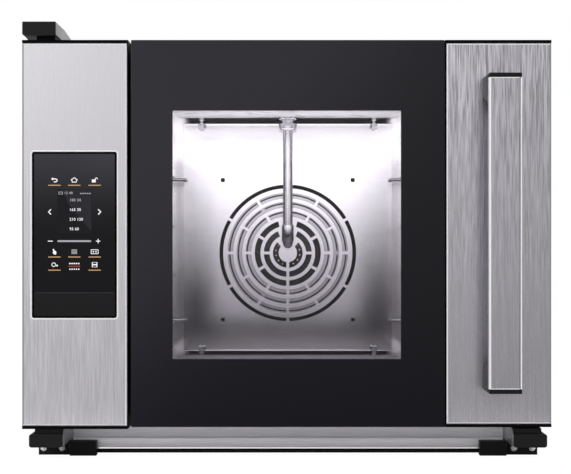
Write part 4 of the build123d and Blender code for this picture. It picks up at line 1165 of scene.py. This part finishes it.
fascia = pan_front(fascia_low[0], STEEL_END, fascia_low[2], fascia_high[2])
opening = ringed_mesh([bezel_loop(0.0, FRONT - 0.01), bezel_loop(0.0, FRONT + 0.01)])
fascia = cut_through(fascia, opening)
folded_panel("control_fascia_folded", "control_fascia", fascia, fascia_low[0], "oven", fascia_steel, -1)
seal = bars(((STEEL_END, FRONT + 0.0012, fascia_low[2]), fascia_high))
put("fascia_edge_seal", seal, trim_black, "oven")

panel = pan_front(PANEL_START, panel_high[0], panel_low[2], panel_high[2])
panel_wall = panel_high[0] - SIDE_SHEET
folded_panel("door_steel_panel_folded", "door_steel_panel", panel, panel_wall, "door", front_steel, 1)
seam = bars(((panel_low[0] - 0.0004, FRONT + 0.0008, panel_low[2]), (PANEL_START + 0.0004, *panel_high[1:])))
put("door_panel_seam", seam, trim_black, "door")

# How far in and how far back each row of the bezel's rounded section lies
bezel_rows = (
    (0.0, 0.004),
    (0.0, 0.0002),
    (0.0001, -0.0002),
    (0.0004, -0.0004),
    (0.0015, -0.0004),
    (0.0018, -0.0002),
    (0.0019, 0.0002),
    (0.0019, 0.004),
)
bezel_mesh = ringed_mesh([bezel_loop(inset, FRONT + back) for inset, back in bezel_rows], closed=True)
smooth_flats(bezel_mesh, 1.0)
put("touch_bezel_rounded", bezel_mesh, bezel, "oven", stands_for=("touch_bezel",))

# ---------------------------------------------------------------- rail, feet and cowl

rail_low, rail_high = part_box("front_rail")
line_left, line_right = (corner[0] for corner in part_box("rail_strip"))
RAIL = rail_low[1]


def drawn_rail(section, left, right):
    return along_x([(RAIL + y, z) for y, z in section], left, right)


rail_section = [
    (0.0012, 0.0380),
    (0.0012, 0.0205),
    (0.0010, 0.0202),
    (0.0001, 0.0199),
    (0.0, 0.0196),
    (0.0, 0.0062),
    (0.0003, 0.0055),
    (0.0012, 0.0053),
    (0.0012, 0.0190),
    (0.0024, 0.0200),
    (0.0024, 0.0368),
    (0.0180, 0.0368),
    (0.0180, 0.0380),
]
rail = drawn_rail(rail_section, rail_low[0], rail_high[0])
put("front_rail_folded", rail, rail_steel, "oven", stands_for=("front_rail",))
upper_line = [(-0.0004, 0.0196), (0.0011, 0.0202), (0.0011, 0.0186), (0.0001, 0.0186)]
lower_line = [(-0.0009, 0.0068), (-0.0006, 0.0083), (0.0006, 0.0084), (0.0006, 0.0068)]
# The upper line is pale matt: a painted highlight.
for name, section, finish in (
    ("rail_bright_bead", lower_line, screw_steel),
    ("rail_bright_edges", upper_line, painted_rail_line),
):
    put(name, drawn_rail(section, line_left, line_right), finish, "oven")
lip = bars(((line_left, RAIL - 0.0006, 0.0048), (line_right, RAIL + 0.0006, 0.0070)))
put("rail_strip_lip", lip, trim_black, "oven")

# Plates on the feet's inner sides, paler than the black feet: painted light.
foot_plates = []
for side, node in ((-1, "foot_front_left"), (1, "foot_front_right")):
    low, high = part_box(node)
    inner = high[0] if side < 0 else low[0]
    x0, x1 = sorted((inner, inner - side * 0.00045))
    outline = [
        (low[1] + 0.004, 0.0185),
        (low[1] + 0.002, 0.0300),
        (low[1] + 0.006, 0.0350),
        (low[1] + 0.014, 0.0378),
        (high[1] - 0.002, 0.0378),
        (high[1] - 0.002, 0.0175),
        (low[1] + 0.010, 0.0172),
    ]
    foot_plates.append(along_x(outline, x0, x1, 0.0001))
put("foot_side_plates", merged("plates", foot_plates), painted_light_plate, "oven")

cowl_low, cowl_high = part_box("roof_cowl")
cowl_outline = [
    (FRONT + 0.0030, cowl_low[2]),
    (FRONT + 0.0030, cowl_high[2]),
    (FRONT + 0.0740, cowl_high[2]),
    (FRONT + 0.1340, cowl_high[2] - 0.0042),
    (cowl_high[1], cowl_high[2] - 0.0060),
    (cowl_high[1], cowl_low[2]),
]
shell = along_x(cowl_outline, cowl_low[0], cowl_high[0], 0.0007, 0.05)
put("roof_cowl_shell", shell, cowl_grey, "oven", stands_for=("roof_cowl",))
cap = bars(((cowl_low[0], FRONT, cowl_low[2]), (cowl_high[0], FRONT + 0.0032, cowl_high[2])), bevel=0.0009)
put("roof_cowl_front_cap", cap, cowl_black, "oven")
bracket_low, bracket_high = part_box("cowl_bracket")
bracket_section = [(-0.0015, 0.006), (0.0035, 0.0), (0.0130, 0.0), (0.0130, 0.006)]
bracket_loops = [
    [(bracket_low[0] + x, y, bracket_low[2] + z) for x, z in bracket_section]
    for y in (bracket_low[1], bracket_high[1])
]
bracket = ringed_mesh(bracket_loops)
put("cowl_bracket_folded", bracket, bracket_grey, "oven", stands_for=("cowl_bracket",))
# A black strip under the cowl, where shade falls: painted shade.
shade_filler_start = (bracket_high[0], bracket_low[1] + 0.002, bracket_low[2])
shade_filler = bars((shade_filler_start, (cowl_high[0] - 0.0012, *bracket_high[1:])), bevel=0.0008)
put("cowl_foam_strip", shade_filler, trim_black, "oven")

# ---------------------------------------------------------------- touch panel marks
# Places on the panel are in metres; the steps and sizes that draw a mark are in millimetres.

LENS = lens_low[1]
MM = 0.001
COLUMNS = (-0.2633, -0.2408, -0.2177)
LEFT_COLUMN, MIDDLE_COLUMN, RIGHT_COLUMN = COLUMNS
SLIDER = 0.2510


def on_lens(loops, lift):
    """A thin sheet that stands a little proud of the touch glass."""
    return flat_mesh(loops, LENS - lift, LENS + 0.0001)


def drawn(x, z, *loops):
    """A mark drawn round a place; each loop is a list of steps away from it."""
    placed = [[(x + dx * MM, z + dz * MM) for dx, dz in loop] for loop in loops]
    return flat_mesh(placed, LENS - 0.00012, LENS + 0.0002)


def bar(width, height, radius=0.49, up=0.0):
    """The loop of a bar round a mark's place; its radius is a share of its lesser side."""
    return round_rect(0.0, up, width, height, min(width, height) * radius, 4)


def stroke(width, *points):
    """The loop of a line of even width through some points."""
    left, right = [], []
    for i, point in enumerate(points):
        before, after = points[max(0, i - 1)], points[min(len(points) - 1, i + 1)]
        run = Vector((after[0] - before[0], after[1] - before[1])).normalized()
        side = Vector((-run.y, run.x)) * width / 2
        left.append((point[0] + side.x, point[1] + side.y))
        right.append((point[0] - side.x, point[1] - side.y))
    return left + right[::-1]


def numbers(text, x, z, height):
    """Plain figures for the display, as a mesh that faces forward and starts at x."""
    curve = bpy.data.curves.new("figures", "FONT")
    curve.body = text
    curve.size = height * 1.4
    curve.align_x = "LEFT"
    curve.align_y = "CENTER"
    curve.extrude = 0.00012
    curve.offset = 0.00006
    curve.resolution_u = 3
    curve.space_character = 1.08
    return stood_up(curve_to_mesh(curve), (x, LENS, z))


def row_of(count, x, z, pitch, *size):
    """Short bars side by side, like words seen from too far to be read."""
    return [drawn(x + pitch * i, z, bar(*size)) for i in range(count)]


# Top row: back arrow, house, open padlock
TOP_ROW = 0.3203
arrow_line = stroke(1.2, (-2.2, 1.2), (1.6, 1.2), (2.9, 0.4), (2.9, -1.2), (1.8, -2.1), (-0.6, -2.1))
shackle = stroke(0.9, (0.8, 0.4), (0.8, 1.6), (1.9, 2.6), (3.0, 1.8), (3.0, 0.8))
pale = [
    drawn(LEFT_COLUMN, TOP_ROW, arrow_line),
    drawn(LEFT_COLUMN, TOP_ROW, [(-3.8, 1.2), (-1.6, -0.6), (-1.6, 3.0)]),
    drawn(MIDDLE_COLUMN, TOP_ROW, stroke(1.0, (-3.8, -0.2), (0.0, 2.6), (3.8, -0.2))),
    drawn(MIDDLE_COLUMN, TOP_ROW, stroke(1.0, (-2.5, -0.1), (-2.5, -2.4), (2.5, -2.4), (2.5, -0.1))),
    drawn(RIGHT_COLUMN - 0.0010, TOP_ROW, bar(4.4, 3.4, 0.15, -1.1)),
    drawn(RIGHT_COLUMN, TOP_ROW, shackle),
]
# Arrows beside the list
for x, way in ((-0.2686, -1), (-0.2122, 1)):
    pale.append(drawn(x, 0.2841, stroke(1.3, (-way * 1.4, 2.8), (way * 1.4, 0.0), (-way * 1.4, -2.8))))
# Middle row: hand, list, framed pair
MIDDLE_ROW = 0.2390
palm = [(-1.2, 1.0), (1.2, 1.0), (2.3, -0.4), (1.9, -3.0), (-0.4, -3.2), (-1.9, -1.0)]
pale += [
    drawn(LEFT_COLUMN, MIDDLE_ROW, stroke(1.5, (-1.4, 3.0), (-0.2, 0.2))),
    drawn(LEFT_COLUMN, MIDDLE_ROW, palm),
    drawn(RIGHT_COLUMN, MIDDLE_ROW, bar(8.6, 5.2, 0.1), bar(7.2, 3.8, 0.08)),
]
dim = [drawn(MIDDLE_COLUMN, MIDDLE_ROW + 0.0021 - 0.0014 * i, bar(6.6, 0.9)) for i in range(4)]
for shift in (-0.0015, 0.0015):
    pale.append(drawn(RIGHT_COLUMN + shift, MIDDLE_ROW, [(-1.0, 0.0), (0.0, -1.2), (1.0, 0.0), (0.0, 1.2)]))
# Low row: ring with a dot, two rows of short bars, disk
LOW_ROW = 0.2243
pale += [
    drawn(LEFT_COLUMN - 0.0008, LOW_ROW, circle_loop(0, 0, 2.5, 28), circle_loop(0, 0, 1.7, 28)),
    drawn(LEFT_COLUMN + 0.0030, LOW_ROW - 0.0010, circle_loop(0, 0, 1.0, 16)),
    drawn(RIGHT_COLUMN, LOW_ROW, bar(6.2, 5.8, 0.1), bar(4.2, 1.8, 0.1, 1.6), bar(4.2, 1.8, 0.1, -1.6)),
]
for z, width in ((0.2256, 1.8), (0.2192, 1.5)):
    pale += row_of(5, MIDDLE_COLUMN - 0.0050, z, 0.0025, width, 1.4, 0.2)
# Figures of the list, minus and plus
LIST_START, LIST_HEIGHT = -0.2462, 0.0031
for text, z in (("165 30", 0.2865), ("210 120", 0.2756), ("95 60", 0.2647)):
    pale.append(numbers(text, LIST_START, z, LIST_HEIGHT))
for x, width, height in ((-0.2680, 5.6, 1.0), (-0.2137, 5.0, 1.0), (-0.2137, 1.0, 5.0)):
    pale.append(drawn(x, SLIDER, bar(width, height)))
# The list's first line, the slider, and the line above the list
dim += [
    numbers("180 24", LIST_START, 0.2974, LIST_HEIGHT),
    drawn(MIDDLE_COLUMN, SLIDER, bar(38.4, 2.0)),
    drawn(-0.2562, 0.3055, bar(4.8, 3.0, 0.1), bar(3.6, 1.8, 0.1)),
    numbers("12 48", -0.2522, 0.3055, 0.0028),
]
dim += row_of(5, -0.2334, 0.3050, 0.0026, 1.8, 1.2, 0.2)
gold = [drawn(x, z, bar(14.2, 1.1)) for z in (0.3143, 0.2330) for x in COLUMNS]
gold += [drawn(x, 0.2181, bar(14.2, 1.1)) for x in (LEFT_COLUMN, RIGHT_COLUMN)]
red = row_of(5, MIDDLE_COLUMN - 0.0054, 0.2224, 0.0027, 2.1, 1.3, 0.2)
for name, marks, finish in (
    ("pale", pale, mark_pale),
    ("dim", dim, mark_dim),
    ("gold", gold, mark_gold),
    ("red", red, mark_red),
):
    put("touch_marks_" + name, merged(name, marks), finish, "oven")

# The panel's dark border, its plain lower band, and the display's field with its sheen
BAND_TOP = 0.1922
border_loops = [[(x, z) for x, _, z in bezel_loop(inset, LENS)] for inset in (0.0014, 0.0042)]
band_loop = rect_loop(lens_low[0] + 0.0008, lens_high[0] - 0.0008, lens_low[2] + 0.0010, BAND_TOP)
sheen_loop = [(-0.2545, 0.3092), (-0.2476, 0.2935), (-0.2270, 0.2690), (-0.2215, 0.2620), (-0.2215, 0.3092)]
line_start = (lens_low[0] + 0.0019, LENS - 0.00009, BAND_TOP)
line = bars((line_start, (lens_high[0] - 0.0019, LENS + 0.0001, BAND_TOP + 0.0006)), bevel=0.00004)
for name, mesh, finish in (
    ("lens_border", on_lens(border_loops, 0.00009), shadow_gap),
    ("lens_plain_band", on_lens([band_loop], 0.00005), lens_band),
    ("lens_band_line", line, lens_line),
    ("display_field", on_lens([rect_loop(-0.2598, -0.2211, 0.2600, 0.3097)], 0.00004), screen_dark),
    ("display_sheen", on_lens([sheen_loop], 0.00007), screen_sheen),
):
    put("touch_" + name, mesh, finish, "oven")


# ---------------------------------------------------------------- screws

def screw_head(radius, rise, cut):
    """A pan head with a cross cut, facing forward from the origin."""
    steps = 20

    def row(back, reaches):
        angles = [math.tau * i / steps for i in range(steps)]
        return [(reach * math.cos(a), back, reach * math.sin(a)) for reach, a in zip(reaches, angles)]

    outside = ((radius, 0.0), (radius, -rise * 0.45), (radius * 0.86, -rise * 0.85), (radius * 0.55, -rise))
    rows = [row(back, [reach] * steps) for reach, back in outside]
    rows.append(row(-rise * 0.35, [cut if i % 5 else radius * 0.18 for i in range(steps)]))
    return ringed_mesh(rows)


head = part_object("screw_head", screw_head(0.0036, 0.0018, 0.0012))
small_head = part_object("small_screw_head", screw_head(0.0028, 0.0012, 0.0009))
dome_profile = [(0.0, -0.0026), (0.0015, -0.0023), (0.0027, -0.0015), (0.0036, -0.0004), (0.0038, 0.0)]
dome = part_object("foot_screw_dome", turned_mesh(dome_profile, "Y", (0, 0, 0), 20))

case_low, case_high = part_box("rear_panel")
BACK = case_high[1]
EDGE_INSET, COVER_SCREW = 0.012, 0.066
back_places = []
for z in (0.060, 0.160, 0.260, 0.360, 0.455):
    back_places += [(case_low[0] + EDGE_INSET, BACK, z), (case_high[0] - EDGE_INSET, BACK, z)]
for x in (-0.180, -0.060, 0.060, 0.180):
    back_places += [(x, BACK, case_low[2] + 0.008), (x, BACK, case_high[2] - 0.008)]
cover_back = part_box("motor_cover")[1][1]
for dx in (-COVER_SCREW, COVER_SCREW):
    back_places += [(MIDDLE + dx, cover_back, FAN_HEIGHT + dz) for dz in (-COVER_SCREW, COVER_SCREW)]
fixings("rear_panel_screws", back_places, head, (0, 0, math.pi), bright_steel)
for side, corner, turn in (("left", 0, -math.pi / 2), ("right", 1, math.pi / 2)):
    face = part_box(f"side_panel_{side}")[corner][0]
    places = [(face, depth(back), z) for back in (0.110, 0.250, 0.390, 0.530) for z in (0.050, 0.466)]
    fixings(f"{side}_panel_screws", places, small_head, (0, 0, turn), bright_steel)
# The foot screws' heads take the white matt finish: a painted highlight.
foot_places = [(MIDDLE + side * out, depth(0.067), 0.008) for side in (-1, 1) for out in (0.287, 0.2655)]
fixings("foot_screws", foot_places, dome, (0, 0, 0), painted_white_edge)
for part in (blade, rivet_head, head, small_head, dome):
    bpy.data.objects.remove(part)

# ---------------------------------------------------------------- floor, light and camera

# The worktop starts a little in front of the oven and goes far back
FLOOR_HALF, FLOOR_START = 30.0, depth(-0.20)
floor_bm = bmesh.new()
bmesh.ops.create_grid(floor_bm, x_segments=1, y_segments=1, size=FLOOR_HALF)
floor = part_object("worktop", from_bm(floor_bm, "worktop"))
floor.data.transform(Matrix.Translation((0, FLOOR_START + FLOOR_HALF, 0)))
worktop = Finish("pale_worktop", (0.86, 0.86, 0.86), 0.9)
lit = worktop.node("ShaderNodeEmission")
worktop.wire((1, 1, 1, 1), lit.inputs["Color"])
worktop.wire(1.05, lit.inputs["Strength"])
seen = worktop.join(worktop.node("ShaderNodeLightPath").outputs["Is Camera Ray"], 0.93, "MULTIPLY")
worktop.wire(worktop.mix(seen, worktop.shader.outputs[0], lit.outputs[0]), worktop.output.inputs[0])
floor.data.materials.append(worktop.material)

# The light of the dim room in front, from right and low to high, and of the white cove behind
ROOM_RIGHT, ROOM_LOW, ROOM_EVEN, ROOM_HIGH, COVE = 0.52, 0.30, 1.12, 1.20, 1.0
world = bpy.data.worlds.new("studio")
bpy.context.scene.world = world
world.use_nodes = True
sky = Nodes(world.node_tree)
sky_out = sky.node("ShaderNodeOutputWorld")
room = sky.node("ShaderNodeBackground")
white = sky.node("ShaderNodeBackground")
parts = sky.node("ShaderNodeSeparateXYZ")
sky.wire(sky.node("ShaderNodeTexCoord").outputs["Generated"], parts.inputs[0])
to_right, to_back, to_top = parts.outputs
sideways = sky.spread(to_right, 1.0, ROOM_RIGHT, -0.35, 0.35)
sideways = sky.join(sideways, sky.spread(to_right, 1.0, 0.60, 0.09, 0.20, True), "MULTIPLY")
upward = sky.spread(to_top, ROOM_LOW, ROOM_EVEN, -0.20, 0.05)
upward = sky.join(upward, sky.spread(to_top, 0.0, ROOM_HIGH - ROOM_EVEN, 0.16, 0.50))
around = sky.spread(to_back, 0.0, 1.0, -0.88, -0.50, True)
dim_room = sky.join(sky.join(sideways, upward, "MULTIPLY"), sky.join(1.0, around, "SUBTRACT"), "MULTIPLY")
sky.wire(sky.join(dim_room, sky.join(around, COVE, "MULTIPLY")), room.inputs["Strength"])
sky.wire((1.0, 0.99, 1.0, 1), room.inputs["Color"])
sky.wire((1, 1, 1, 1), white.inputs["Color"])
sky.wire(1.0, white.inputs["Strength"])
path = sky.node("ShaderNodeLightPath").outputs
shiny = sky.join(path["Is Glossy Ray"], path["Is Transmission Ray"], "MAXIMUM")
behind = sky.spread(to_back, 0.0, 1.0, 0.0, 0.05)
backdrop = sky.join(path["Is Camera Ray"], sky.join(shiny, behind, "MULTIPLY"), "MAXIMUM")
sky.wire(sky.mix(backdrop, room.outputs[0], white.outputs[0]), sky_out.inputs[0])


def soft_lamp(name, place, target, width, height, power):
    data = bpy.data.lights.new(name, "AREA")
    data.shape = "RECTANGLE"
    data.size = width
    data.size_y = height
    data.energy = power
    lamp = bpy.data.objects.new(name, data)
    lamp.location = place
    lamp.rotation_euler = (Vector(target) - Vector(place)).to_track_quat("-Z", "Y").to_euler()
    lamp.visible_camera = False
    bpy.context.scene.collection.objects.link(lamp)


soft_lamp("left_lamp", (-1.5, -1.9, 1.3), (0, 0, 0.25), 1.2, 1.2, 12.0)
soft_lamp("right_lamp", (1.9, -1.6, 0.9), (0, 0, 0.25), 1.0, 1.0, 4.0)
soft_lamp("top_lamp", (0.0, 0.2, 2.4), (0, 0, 0.3), 1.4, 1.4, 8.0)
# The oven's own light: strips across the door, brightest at the top, and one under the ceiling
STRIP_WIDTH, STRIP_HEIGHT = 0.342, 0.030
for strip, radiance in enumerate((2.0, 1.8, 1.45, 1.1, 0.78, 0.54, 0.36, 0.20, 0.08)):
    z = 0.412 - STRIP_HEIGHT * strip
    power = radiance * math.pi * STRIP_WIDTH * STRIP_HEIGHT
    place, target = (MIDDLE, depth(0.062), z), (MIDDLE, BAFFLE, z)
    soft_lamp(f"cavity_light_{strip}", place, target, STRIP_WIDTH, STRIP_HEIGHT, power)
soft_lamp("ceiling_light", (MIDDLE, depth(0.440), 0.372), (MIDDLE, depth(0.440), 0.44), 0.32, 0.10, 0.17)

# The photograph's view: straight from the front, through a long lens
camera_data = bpy.data.cameras.new("camera")
camera = bpy.data.objects.new("camera", camera_data)
camera.location = (0.0, -2.0725, 0.25)
camera.rotation_euler = (math.radians(90), 0, 0)
camera_data.lens = 100.15
camera_data.sensor_width = 36.0
camera_data.shift_x = -0.0022
camera_data.shift_y = 0.00876
bpy.context.scene.collection.objects.link(camera)
bpy.context.scene.camera = camera
bpy.context.scene.view_settings.view_transform = "Standard"
